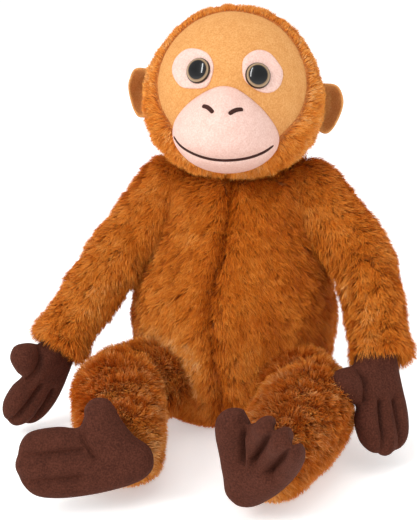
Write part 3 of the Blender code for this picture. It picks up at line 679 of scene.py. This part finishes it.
def limb_line(part, name):
    side, lengths = SIDES[name], LIMBS[part]["lengths"]
    if part == "arm":
        ways = [(w[0] * side, w[1], w[2]) for w in ARM_WAYS[name]]
        return Line(chain((SHOULDER[0] * side, *SHOULDER[1:]), ways, lengths), (0, -1, 0.6))
    ways = []
    for yaw, rise in zip(np.radians(LEG_YAW[name]), np.radians(LEG_RISE[name])):
        ways.append((side * math.sin(yaw) * math.cos(rise), -math.cos(yaw) * math.cos(rise), math.sin(rise)))
    return Line(chain((HIP[0] * side, *HIP[1:]), ways, lengths), (0, 0, 1))


def make_limb(part, name, seed):
    """A stuffed tube with its pile, sewn to the torso at one end. The arm's far end is an open cuff."""
    own = LIMBS[part]
    line = limb_line(part, name)
    radii, end = own["radii"], line.length
    # The profile is (distance, radius): a dome inside the torso, the tube, and the cuff or another dome.
    dome = [(-radii[0] * math.cos(t), radii[0] * math.sin(t)) for t in np.linspace(0.08, np.pi / 2, 14)[:-1]]
    tube = [(end * s, float(between(radii, s))) for s in np.linspace(0, 1, 60)]
    if part == "arm":
        tube[-4:] = [(r, w + 0.5 * k) for k, (r, w) in enumerate(tube[-4:])]
        wide = tube[-1][1]
        hem = ((1.5, 2.0), (1.0, 4.5), (-5.0, 6.5), (-10.0, 7.5))
        close = [(end + on, wide - inner) for on, inner in hem]
    else:
        turns = np.linspace(0, np.pi / 2 - 0.08, 16)[1:]
        close = [(end + radii[-1] * math.sin(t), radii[-1] * math.cos(t)) for t in turns]
    reach, radius = np.array(dome + tube + close).T
    centre, way, across, up = line.at(reach)
    angle = round_angles(LIMB_AROUND)
    cos, sin = np.cos(angle), np.sin(angle)
    out = across[:, None] * cos[:, None] + up[:, None] * sin[:, None]
    rows = centre[:, None] + out * radius[:, None, None]
    inward = BACKING + np.zeros(rows.shape[:2])
    for seam in own["seams"]:
        off = angle_off(angle, seam)
        drawn_in = LIMB_SEAM_DEPTH * bump(off[None] * radius[:, None], LIMB_SEAM_WIDTH)
        inward += drawn_in * np.clip(reach / 30, 0, 1)[:, None]
    # Folds across the bend, on a leg only on top, and soft lumps of stuffing
    kept = 0.5
    if part == "leg":
        kept = np.clip(up[:, None] @ np.array([0, 0, 1.0]), 0, 1) * np.clip(sin, 0, 1)[None]
    for k, place in enumerate(own["folds"]):
        fold = bump(reach[:, None] - own["lengths"][0] - place - 5 * np.sin(2 * angle + k), 3.2)
        inward += own["fold_depth"] * fold * kept
    inward -= 1.5 * lumps(rows, 20.0, seed) + 0.7 * lumps(rows, 9.0, seed + 3)
    shallow = np.clip(radius / 14, 0, 1)
    rows = rows - out * np.minimum(inward * shallow[:, None], radius[:, None] * 0.7)[..., None]
    grown = np.ones(rows.shape[:2]) * (reach > -0.6 * radii[0])[:, None]
    pile = np.clip(rows[..., 2] / 10, 0.25, 1.0)  # short where it lies on the floor
    comb = way[:, None] + 0.2 * out + np.array([0, 0, -0.3])
    if part == "arm":
        grown[-3:] = 0
        cuff = bump(reach - end, 12.0)[:, None]
        pile = pile * (1 + 0.25 * cuff)
        comb = comb + 0.3 * cuff[..., None] * out
    else:
        # The foot is sewn over the end, so the pile fans out from under it.
        far = np.clip((reach - end) / radii[-1], 0, 1)[:, None]
        comb = comb * (1 - far[..., None]) + out * far[..., None]
        pile = pile * (1 - 0.15 * far)
    shade = np.broadcast_to(own["tone"] + 0.08 * np.clip(reach / end, 0, 1)[:, None], pile.shape)
    data = {"comb": unit(comb), "thick": grown, "pile": pile, "shade": shade}
    cloth = closed_mesh(f"{part}_{name}_cloth", rows, CLOTH, data)
    fur = plant(
        f"{part}_{name}_fur", cloth, 31 + seed, Density=own["density"], Width=own["tuft"] * MM, Lay=own["lay"]
    )
    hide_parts(*[f"{part}_{name}_{panel}" for panel in (*own["panels"], "stuffing")])
    root, ahead = line.at(np.array([-6.0, 34.0]))[0]
    for piece in (cloth, fur):
        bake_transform(piece)
    return line


# ---------------------------------------------------------------- hands and feet

# Outlines and creases are flat: along the hand or foot from its joint, and across it towards the thumb.
HAND_OUTLINE = (
    (-13.5, 0), (-9.5, -9.5), (0, -13.5), (18, -17), (42, -20), (61, -16), (70, -3), (69, 7), (60, 15),
    (46, 17), (36, 15), (33, 23), (27, 32), (17, 33), (11, 25), (8, 15), (0, 12.5), (-9, 9.5),
)
HAND_MIDDLE = (30, 2)
HAND_CREASES = (((34, -8), (52, -9), (72, -9)), ((34, 4), (52, 5), (74, 6)), ((8, 20), (20, 15), (34, 14)))
HAND_WAY = {"left": ((4, -24, -66), (-0.8, -0.6, 0.1)), "right": ((-26, -26, -59), (-0.75, -0.9, 0.2))}
HAND_SHIFT = {"left": (-4.0, -4.0, 1.0), "right": (0.0, 0.0, 0.0)}
HAND_WIDEN = {"left": 1.12, "right": 1.0}
HAND_THICK = (11.5, 10.5)  # half the thickness at the wrist and at the fingers
HAND_BEND = (12.0, 150.0)  # bends down past a reach, round a radius
FOOT_OUTLINES = {
    "right": (
        (0, 0), (2, -8), (12, -15), (36, -21), (60, -23), (76, -19), (85, -5), (84, 8), (77, 19),
        (60, 22), (47, 21), (43, 27), (42, 34), (37, 39), (29, 39), (24, 34), (20, 26), (12, 15), (3, 8),
    ),
    "left": (
        (0, 0), (2, -8), (12, -15), (36, -21), (60, -22), (78, -18), (88, -6), (87, 5), (79, 13),
        (66, 15), (60, 19), (62, 27), (56, 34), (47, 36), (37, 32), (26, 24), (13, 15), (3, 8),
    ),
}
FOOT_MIDDLE = (36, 2)
FOOT_CREASES = {
    "left": (((44, 3), (62, 3), (90, 2.5)), ((46, -9), (64, -10), (90, -11)), ((60, 18), (48, 13), (38, 8))),
    "right": (((44, 9), (62, 8), (88, 7)), ((46, -8), (64, -9), (88, -9)), ((44, 18), (40, 10), (36, 4))),
}
FOOT_THICK = (11.0, 10.0)
FOOT_CREASE_DEPTH = {"left": 0.85, "right": 0.4}
FOOT_NOTCH = {"left": 4.5, "right": 1.5}
FOOT_BEND = {"left": (44.0, 60.0), "right": (40.0, 260.0)}
FOOT_SHIFT = (0.0, 0.0, 6.0)
FOOT_REACH = 37.1  # from the leg's last centre to the foot's middle layer
FOOT_AXIS = {"left": (15.0, 2.0), "right": (19.0, 6.0)}
FOOT_WAY = {
    "left": ((0.41, -0.43, 0.80), (-0.79, 0.23, 0.53)),
    "right": ((-0.97, -0.2, 0.0), (0.0, 0.12, 1.0)),
}


def mitt_frame(origin, reach_way, side_way, side):
    """Columns that turn (reach, side, up) into place, and the origin."""
    along = unit(reach_way)
    out = unit(np.array(side_way) - along * (along @ np.array(side_way)))
    return np.stack([along, out, np.cross(along, out) * side], 1), np.array(origin, float)


def make_mitt(outline, middle, thick, creases, bend, seed, depth=0.62, notch=2.6):
    """Rows of two layers sewn round an outline and stuffed, drawn in along stitched lines, and bent over.

    thick is the stuffing's height at the joint and at the tips, depth the share of it that the stitching
    draws in, and notch how far the outline is drawn in between two fingers.
    """
    edge = closed_curve(outline, 150)
    middle = np.array(middle, float)
    for crease in creases[:2]:
        tip = np.array(crease[-1], float)
        near = bump(np.linalg.norm(edge - tip, axis=1), 6.0) ** 2
        edge = edge - unit(edge - middle) * (notch * near)[:, None]
    shares = 1 - (1 - np.linspace(0.02, 1, 26)) ** 1.5
    flat = middle + (edge - middle) * shares[:, None, None]
    swell = rounded(line_gap(flat, np.vstack([edge, edge[:1]])), 12.0)
    share = (flat[..., 0] - edge[:, 0].min()) / np.ptp(edge[:, 0])
    height = (thick[0] + (thick[1] - thick[0]) * share) * swell
    pinch = np.zeros_like(height)
    for crease in creases:
        gap = line_gap(flat, between(crease, np.linspace(0, 1, 12)))
        pinch = np.maximum(pinch, bump(gap, 1.6) * 0.6 + bump(gap, 5.0) * 0.4)
    height = height * (1 - depth * pinch)
    spots = np.dstack([flat, np.zeros_like(height)])
    layers = []
    for sign in (1, -1):
        rough = 0.5 * lumps(spots, 9.0, seed + sign) * swell
        layers.append(bent(np.dstack([flat, (height + rough) * sign]), *bend))
    return np.concatenate([layers[0], layers[1][::-1][1:]])


def bent(points, start_at, radius):
    """Bends down what lies past a reach, round a radius."""
    past = np.maximum(points[..., 0] - start_at, 0)
    angle = past / radius
    low = -points[..., 2]
    made = points.copy()
    made[..., 0] = np.where(past > 0, start_at + (radius - low) * np.sin(angle), points[..., 0])
    made[..., 2] = -np.where(past > 0, radius - (radius - low) * np.cos(angle), low)
    return made


def make_hand(name, line, seed):
    wrist = line.at(np.array(line.length))[0] + HAND_SHIFT[name]
    turn, origin = mitt_frame(wrist, *HAND_WAY[name], SIDES[name])
    outline = [(x, y * HAND_WIDEN[name]) for x, y in HAND_OUTLINE]
    rows = make_mitt(outline, HAND_MIDDLE, HAND_THICK, HAND_CREASES, HAND_BEND, seed)
    hand = closed_mesh(f"hand_{name}", rows @ turn.T + origin, BROWN)
    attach(hand, f"hand_{name}")
    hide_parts(*[f"hand_{name}_{part}" for part in ("back", "palm", "stuffing")])


def make_foot(name, line, seed):
    turn, _ = mitt_frame((0, 0, 0), *FOOT_WAY[name], -SIDES[name])
    centre = line.at(np.array(line.length))[0]
    origin = centre - turn[:, 2] * FOOT_REACH - turn @ np.array([*FOOT_AXIS[name], 0]) + FOOT_SHIFT
    rows = make_mitt(
        FOOT_OUTLINES[name], FOOT_MIDDLE, FOOT_THICK, FOOT_CREASES[name], FOOT_BEND[name], seed,
        depth=FOOT_CREASE_DEPTH[name], notch=FOOT_NOTCH[name],
    )
    foot = closed_mesh(f"foot_{name}", rows @ turn.T + origin, BROWN)
    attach(foot, f"foot_{name}")
    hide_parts(*[f"foot_{name}_{part}" for part in ("sole", "top", "stuffing")])


# ---------------------------------------------------------------- the head

HEAD_HALF = np.array((55.5, 56.0, 56.0))
HEAD_PLACE = (
    Matrix.Translation((-2.8, -8.0, 240.5))
    @ Matrix.Rotation(math.radians(0.5), 4, "Z")
    @ Matrix.Rotation(math.radians(4.0), 4, "Y")
)
HEAD_TURN = np.array(HEAD_PLACE.to_3x3())
HEAD_CENTRE = np.array(HEAD_PLACE.translation)
# Degrees from the nose's axis to the hood's edge, from the crown down either side to the chin
FACE_EDGE = (79.0, 77.0, 71.5, 63.5, 51.0, 52.0, 57.0)
TURNS = np.linspace(0, 360, AROUND, endpoint=False)  # degrees round the nose's axis
CHEEK = 6.5  # how far the cheeks stand out beside the muzzle
HOOD_RIM = 4.5  # how far the hood stands out past the face's edge
HOOD_SEAM_DEPTH = 2.4
SOCKET_DEPTH = 1.3
SOCKET_WIDTH = 12.0
MUZZLE_CENTRE = np.array((0.0, -17.5))
MUZZLE_OUTLINE = (
    (0, 27), (12, 23), (26, 11.5), (35, -3), (34, -16), (21, -27.5),
    (0, -32), (-21, -27.5), (-34, -16), (-35, -3), (-26, 11.5), (-12, 23),
)
MUZZLE_DEPTH = 26.0
MUZZLE_WAY = np.array((0.0, -1.0, -0.3))  # forwards, and a little down to the chin
EYE_CENTRE = (19.3, 17.1)
EYE_RADIUS = 8.9
EYE_RISE = 4.6
POST_RADIUS = 2.0
POST_LENGTH = 13.0
PRINT_SHIFT = 0.9  # the print lies behind the clear plastic, so it shows a little towards the nose
PATCH_OUTLINES = {
    "left": (
        (-10.5, 7), (-8.3, 12.5), (-2.1, 16), (5.9, 14.2), (13.2, 6.8), (15.7, 1), (14.5, -6), (9.5, -10.2),
        (1.7, -9.6), (-7.8, -3),
    ),
    "right": (
        (19, -3.8), (18.2, 4.8), (11.5, 11.8), (2.9, 13.4), (-5.1, 11), (-9.3, 5), (-9.2, -2), (-6.1, -9.4),
        (3.2, -11.6), (12.2, -11.2),
    ),
}
MOUTH = (
    (-33.5, -25.2), (-28.5, -27), (-20.5, -28.5), (-9.5, -29.9), (0, -30.3), (9.5, -29.7), (19.5, -28.5),
    (27.5, -26.8), (33, -25),
)
NOSTRIL = ((5.0, -0.3), (7.6, 0.9), (10.1, 1.2), (13.0, 0.7))
EAR_OUTLINE = ((0, -10), (4, -18), (11, -18.5), (17, -9), (19.5, 4), (15, 14.5), (8, 17), (0, 13))
EAR_MIDDLE = (7.0, 1.0)
EAR_PLACE = (58.0, 8.0, -5.5)
EAR_HOLLOW = 8.0
EAR_RIM = 1.9  # half the thickness of its rim


def on_head(points):
    """Points of the head's own frame, in the toy's."""
    return np.asarray(points) @ HEAD_TURN.T + HEAD_CENTRE


def ball(polar, turn, out):
    """Points on the head's ball: polar is degrees off the nose's axis, turn degrees round it, out extra."""
    p, t = np.radians(polar), np.radians(turn)
    half = HEAD_HALF + np.asarray(out)[..., None]
    return half * np.stack([np.sin(p) * np.cos(t), -np.cos(p) + 0 * t, np.sin(p) * np.sin(t)], -1)


def on_way(ways):
    """Ways of the head's own frame, in the toy's."""
    return np.asarray(ways) @ HEAD_TURN.T


def face_edge(turn):
    return between(FACE_EDGE, np.abs((90 - turn + 180) % 360 - 180) / 180)


def on_face(right, up, out=0.0):
    """Points of the face that are right and up from its middle, at a height above it, and the ways out."""
    right, up = np.asarray(right, float), np.asarray(up, float)
    wide, deep, high = HEAD_HALF
    off = np.minimum((right / wide) ** 2 + (up / high) ** 2, 0.98)
    flat = np.stack([right, -deep * np.sqrt(1 - off), up], -1)
    way = unit(flat / HEAD_HALF**2)
    return flat + way * (VELBOA + np.asarray(out))[..., None], way


MUZZLE_EDGE = closed_curve(MUZZLE_OUTLINE, AROUND)


def on_muzzle(right, up, out=0.0):
    """The points of the muzzle's skin that are right and up from the middle of the face."""
    spoke = np.stack(np.broadcast_arrays(right, up), -1) - MUZZLE_CENTRE
    angle = np.arctan2(spoke[..., 1], spoke[..., 0])
    edge_angle = np.arctan2(MUZZLE_EDGE[:, 1], MUZZLE_EDGE[:, 0])
    order = np.argsort(edge_angle)
    rim = np.interp(angle, edge_angle[order], np.linalg.norm(MUZZLE_EDGE, axis=1)[order], period=2 * np.pi)
    share = np.minimum(np.linalg.norm(spoke, axis=-1) / rim, 1.0)
    return muzzle_skin(right, up, share, out)


def muzzle_skin(right, up, share, out=0.0):
    spots = np.stack(np.broadcast_arrays(right, up), -1)
    base, _ = on_face(right, up, 0.3)
    rise = MUZZLE_DEPTH * np.sqrt(np.clip(1 - share**2.3, 0, 1))
    # The mouth's stitching draws the skin in, the nostrils dimple it, and a small ridge stands between them.
    lips = line_gap(spots, between(MOUTH, np.linspace(0, 1, 30)))
    rise = rise - (1.5 * bump(lips, 1.8) + 1.2 * bump(lips, 6.0)) * np.clip((1 - share) * 8, 0, 1)
    for side in SIDES.values():
        nostril = line_gap(spots, [(side * x, y) for x, y in NOSTRIL])
        rise = rise - 1.0 * bump(nostril, 2.4)
        wing = np.hypot(spots[..., 0] - side * 8.5, (spots[..., 1] + 4.5) * 1.2)
        rise = rise + 0.9 * bump(wing, 4.5)
    ridge = line_gap(spots, [(0.5, 7), (0, 1)])
    rise = rise + 0.9 * bump(ridge, 2.6) - 0.8 * bump(line_gap(spots, [(-2.2, 7), (-2.8, 1)]), 1.1)
    return base + MUZZLE_WAY * (rise + out)[..., None]


def on_head_piece(name, rows, finish, replaced, attributes=None):
    made = closed_mesh(name, on_head(rows), finish, attributes)
    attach(made, "head")
    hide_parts(*replaced)
    return made


def make_face():
    edge = face_edge(TURNS)
    shares = np.linspace(0.012, 1.0, 52)
    outer = ball(edge * shares[:, None], TURNS, VELBOA)
    # The sockets are drawn in round the eyes.
    for side in SIDES.values():
        gap = np.hypot(outer[..., 0] - side * EYE_CENTRE[0], outer[..., 2] - EYE_CENTRE[1])
        outer = outer - unit(outer) * (SOCKET_DEPTH * bump(gap, SOCKET_WIDTH))[..., None]
    outer = outer + unit(outer) * (0.5 * lumps(outer, 16.0, 5))[..., None]
    tucked = ball(edge[None] + 1.5, TURNS, -2.0)
    back = ball(edge * shares[::-6, None], TURNS, -1.0)
    rows = np.concatenate([outer, tucked, back])
    return on_head_piece("face_panel_velboa", rows, TAN, ["face_panel"])


def make_hood(seed):
    edge = face_edge(TURNS) - 1.0
    steps = np.concatenate([np.linspace(0, 0.06, 8), np.linspace(0.075, 0.985, 56)])
    polar = edge + (180 - edge) * steps[:, None]
    past = polar - edge
    rim = HOOD_RIM * rounded(past, 7.0) - 1.8 * np.clip((past - 7) / 16, 0, 1)
    # Full cheeks beside the muzzle
    cheeks = sum(bump((TURNS - middle + 180) % 360 - 180, 38) for middle in (-32, 212))
    rim = rim + CHEEK * cheeks * np.clip(past / 10, 0, 1) * np.clip(1.3 - past / 80, 0, 1)
    plain = ball(polar, TURNS, 0.0)
    out = -0.5 + rim + 1.0 * lumps(plain, 22.0, 8)
    # The seam over the crown and down the back
    out = out - HOOD_SEAM_DEPTH * bump(plain[..., 0], 4.5) * np.clip(past / 20, 0, 1)
    rows = np.concatenate([ball(edge[None] + 2.0, TURNS, -2.2), ball(polar, TURNS, out)])
    away = ball(polar + 4, TURNS, 0.0) - ball(polar - 4, TURNS, 0.0)
    comb = unit(away) + np.array([0, 0, -0.25]) * np.clip(past / 60, 0, 1)[..., None]
    comb = np.concatenate([comb[:1], comb])
    grown = np.ones(comb.shape[:2])
    grown[:3] = 0
    # Shorter over the crown and along the face's edge, and longer under the chin
    pile = np.concatenate([np.full((1, AROUND), 0.6), 0.6 + 0.4 * np.clip(past / 10, 0, 1)])
    pile = pile * (1 - 0.25 * np.sin(np.radians(TURNS)))
    data = {"comb": unit(on_way(comb)), "thick": grown, "pile": pile, "shade": np.full(grown.shape, 0.72)}
    hood = on_head_piece("hood_cloth", rows, CLOTH, ["hood_left", "hood_right"], data)
    flat = np.concatenate([on_head(rows)[..., 0].ravel(), [0, 0]])
    for name, side in SIDES.items():
        fur = plant(
            f"hood_fur_{name}", hood, seed + side, flat * side > 0, Density=3.4e6, Lay=1.3, Width=0.42 * MM,
            Wander=0.12,
        )
        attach(fur, "head")
    return hood


def make_muzzle():
    shares = 1 - (1 - np.linspace(0.02, 1.0, 46)) ** 1.7
    flat = MUZZLE_CENTRE + MUZZLE_EDGE * shares[:, None, None]
    outer = muzzle_skin(flat[..., 0], flat[..., 1], shares[:, None] + 0 * flat[..., 0])
    back = []
    for share in (0.97, 0.6, 0.2):
        spot = MUZZLE_CENTRE + MUZZLE_EDGE * share
        back.append(on_face(spot[:, 0], spot[:, 1], -0.5)[0])
    rows = np.concatenate([outer, np.array(back)])
    made = on_head_piece("muzzle_velboa", rows, PINK, ["muzzle_cover"])
    return made


def satin_line(name, points, wide, high, replaced):
    """A line of satin stitching that lies on the muzzle, flat, rounded and tapered at its ends."""
    count, around = 60, 12
    spots = between(points, np.linspace(0, 1, count))
    centre = on_muzzle(spots[:, 0], spots[:, 1], 0.1)
    way = unit(np.gradient(centre, axis=0))
    sideways = on_muzzle(spots[:, 0], spots[:, 1] + 0.5) - on_muzzle(spots[:, 0], spots[:, 1] - 0.5)
    out = unit(np.cross(way, sideways))
    out = out * np.where(out[:, 1:2] > 0, -1, 1)
    across = unit(np.cross(out, way))
    angle = round_angles(around)
    taper = np.sqrt(np.clip(1 - np.abs(np.linspace(-1, 1, count)) ** 8, 0.03, 1))[:, None, None]
    flat = across[:, None] * wide / 2 * np.cos(angle)[None, :, None]
    raised = out[:, None] * high * np.sin(angle)[None, :, None]
    rows = centre[:, None] + taper * (flat + raised)
    made = on_head_piece(name, rows, THREAD, replaced)
    run = np.concatenate([[0], np.cumsum(np.linalg.norm(np.diff(centre, axis=0), axis=1))])
    places = np.stack(np.broadcast_arrays(run[:, None], angle[None] * 0.3), -1).reshape(-1, 2)
    places = np.vstack([places, [run[0], 0], [run[-1], 0]])
    lay_map(made, "thread", places)
    return made


def make_eye(name, side):
    right, up = EYE_CENTRE[0] * side, EYE_CENTRE[1]
    edge = closed_curve([(p[0] * side + right, p[1] + up) for p in PATCH_OUTLINES[name]], 96)
    middle = np.array([right, up])
    rows = []
    for share in np.concatenate([np.linspace(0.05, 0.9, 12), [0.95, 0.985, 1.0]]):
        spot = middle + (edge - middle) * share
        dip = 1.0 * bump(np.linalg.norm(spot - middle, axis=1), 10.0)
        rise = 1.5 * math.sqrt(max(1 - share**10, 0.0)) - dip
        rows.append(on_face(spot[:, 0], spot[:, 1], rise)[0])
    for share in (0.97, 0.5, 0.05):
        spot = middle + (edge - middle) * share
        rows.append(on_face(spot[:, 0], spot[:, 1], -1.8)[0])
    on_head_piece(f"eye_patch_{name}_velboa", rows, PINK, [f"eye_patch_{name}"])

    centre, way = on_face(np.array(right), np.array(up))
    across = unit(np.cross(way, [0, 0, 1.0]))
    high = np.cross(across, way)
    angle = round_angles(64)
    ring = across * np.cos(angle)[:, None] + high * np.sin(angle)[:, None]
    lean = np.linspace(0.04, np.pi / 2, 20)
    dome = [(EYE_RADIUS * math.sin(t), 0.6 + EYE_RISE * math.cos(t)) for t in lean]
    profile = dome + [(EYE_RADIUS - 0.3, 0.0), (POST_RADIUS, -0.4), (POST_RADIUS, -POST_LENGTH)]
    rows = np.array([centre + way * reach + ring * radius for radius, reach in profile])
    made = on_head_piece(f"eye_{name}_dome", rows, EYE, [f"eye_{name}"])
    shift = np.array([-side * PRINT_SHIFT, 0.0, 0.0])
    spots = (rows - centre - shift).reshape(-1, 3)
    print_radius = np.linalg.norm(spots - (spots @ way)[:, None] * way, axis=1) / EYE_RADIUS
    full = np.linalg.norm((rows - centre).reshape(-1, 3) @ np.stack([across, high], 1), axis=1) / EYE_RADIUS
    blend = np.clip((full - 0.7) / 0.3, 0, 1)
    values = print_radius * (1 - blend) + full * blend
    places = np.stack([values, np.tile(angle / (2 * np.pi), len(rows))], 1)
    places = np.vstack([places, [0.0, 0], [0.0, 0]])
    lay_map(made, "iris", places)


def make_ear(name, side, seed):
    """Two layers of velboa with a rolled rim, cupped forwards and folded where they are sewn to the hood."""
    edge = closed_curve(EAR_OUTLINE, 96)
    middle = np.array(EAR_MIDDLE)
    shares = 1 - (1 - np.linspace(0.03, 1, 22)) ** 1.5
    flat = middle + (edge - middle) * shares[:, None, None]
    to_edge = line_gap(flat, np.vstack([edge, edge[:1]]))
    swell = rounded(to_edge, 3.0)
    hollow = EAR_HOLLOW * np.clip((to_edge - 1.5) / 6.0, 0, 1) ** 0.7
    fold = 0.7 * np.clip(flat[..., 1] - 9, 0, 20) + 0.3 * np.clip(flat[..., 0] - 13, 0, 20)
    curl = -0.02 * flat[..., 1] ** 2 - 0.012 * flat[..., 0] ** 2 - fold
    both = []
    for sign in (1, -1):
        lift = curl + hollow + sign * EAR_RIM * swell + 0.3 * lumps(np.dstack([flat, 0 * curl]), 6.0, seed)
        both.append(np.stack([flat[..., 0], flat[..., 1], lift], -1))
    rows = np.concatenate([both[0], both[1][::-1][1:]])
    turn, origin = mitt_frame((EAR_PLACE[0] * side, *EAR_PLACE[1:]), (side, 0.1, 0), (0, 0, 1), -side)
    layers = [f"ear_{name}_front", f"ear_{name}_back"]
    made = on_head_piece(f"ear_{name}_velboa", rows @ turn.T + origin, TAN, layers)


# ---------------------------------------------------------------- putting it together

make_torso()
for order, (name, side) in enumerate(SIDES.items()):
    make_hand(name, make_limb("arm", name, 4 + order), 20 + order)
    make_foot(name, make_limb("leg", name, 8 + order), 24 + order)
make_face()
make_hood(61)
make_muzzle()
satin_line("mouth_thread", MOUTH, 3.1, 0.9, ["mouth_stitching"])
for name, side in SIDES.items():
    nostril = [(side * x, y) for x, y in NOSTRIL]
    satin_line(f"nostril_thread_{name}", nostril, 3.0, 0.9, [f"nostril_stitching_{name}"])
    make_eye(name, side)
    make_ear(name, side, 70)

inside = {"stuffing": plain_stuffing(), "pellets": pellet_cloth(), "washer_plastic": moulded_nylon()}
kinds = {part["node"]: part["material_slot"] for part in frame["record"]["subparts"]}
for node_name, kind in kinds.items():
    if kind in inside:
        node = frame["nodes"][node_name]
        node.data.materials.clear()
        node.data.materials.append(inside[kind])

bpy.data.objects.remove(TUFT)

# ---------------------------------------------------------------- floor, light and camera


def studio():
    floor_mesh = bpy.data.meshes.new("floor")
    wide = 40.0  # so far out that its edge never shows as a line
    corners = [(-wide, -wide, 0), (wide, -wide, 0), (wide, wide, 0), (-wide, wide, 0)]
    floor_mesh.from_pydata(corners, [], [(0, 1, 2, 3)])
    floor = add_object("floor", floor_mesh)
    floor.location.z = -0.002
    paper, tree, shader = start("pale_paper", {
        "Roughness": 0.9, "Base Color": linear("#F6F6F5"), "Emission Color": linear("#FFFFFF"),
        "Emission Strength": 0.4,
    })
    floor.data.materials.append(paper)

    world = bpy.data.worlds.new("studio")
    bpy.context.scene.world = world
    world.use_nodes = True
    # A white room that is dimmer overhead, so that its walls meet the floor without a line
    tree = world.node_tree
    way = add(tree, "ShaderNodeTexCoord").outputs["Generated"]
    up = add(tree, "ShaderNodeSeparateXYZ", {"Vector": way}).outputs["Z"]
    colour = add(
        tree, "ShaderNodeValToRGB", {"Fac": up}, ((0.0, "#FFFFFF"), (0.1, "#FFFFFF"), (0.35, "#DEDEDE"))
    )
    feed(tree, tree.nodes["Background"], {"Color": colour})

    lamps = (
        # name, place, aim, size, watts, and whether it only glints
        ("key", (-1.1, -1.4, 1.3), (0, -0.05, 0.15), (0.9, 0.9), 22.0, False),
        ("fill", (1.3, -1.2, 0.8), (0, -0.05, 0.15), (0.9, 0.9), 4.0, False),
        ("top", (0.0, 0.1, 1.7), (0, 0, 0.2), (1.2, 1.2), 6.0, False),
        ("window", (-0.2, -0.95, 1.05), (0, -0.05, 0.26), (0.14, 1.2), 16.0, True),
    )
    for name, place, aim, size, watts, glint in lamps:
        lamp = bpy.data.lights.new(name, "AREA")
        lamp.shape = "RECTANGLE"
        lamp.size, lamp.size_y = size
        lamp.energy = watts
        made = add_object(name, lamp)
        made.location = place
        made.visible_diffuse = not glint
        made.visible_glossy = glint
        made.rotation_euler = (Vector(aim) - Vector(place)).to_track_quat("-Z", "Y").to_euler()

    bpy.context.scene.view_settings.view_transform = "Standard"
    camera = bpy.data.cameras.new("camera")
    camera.sensor_fit = "VERTICAL"
    camera.sensor_height = 24.0
    camera.lens = 57.32
    camera.clip_start = 0.01
    made = add_object("camera", camera)
    made.location = (0.1029, -0.8944, 0.340)
    made.rotation_euler = (math.radians(90 - 14.1), 0, math.radians(8))
    bpy.context.scene.camera = made


studio()
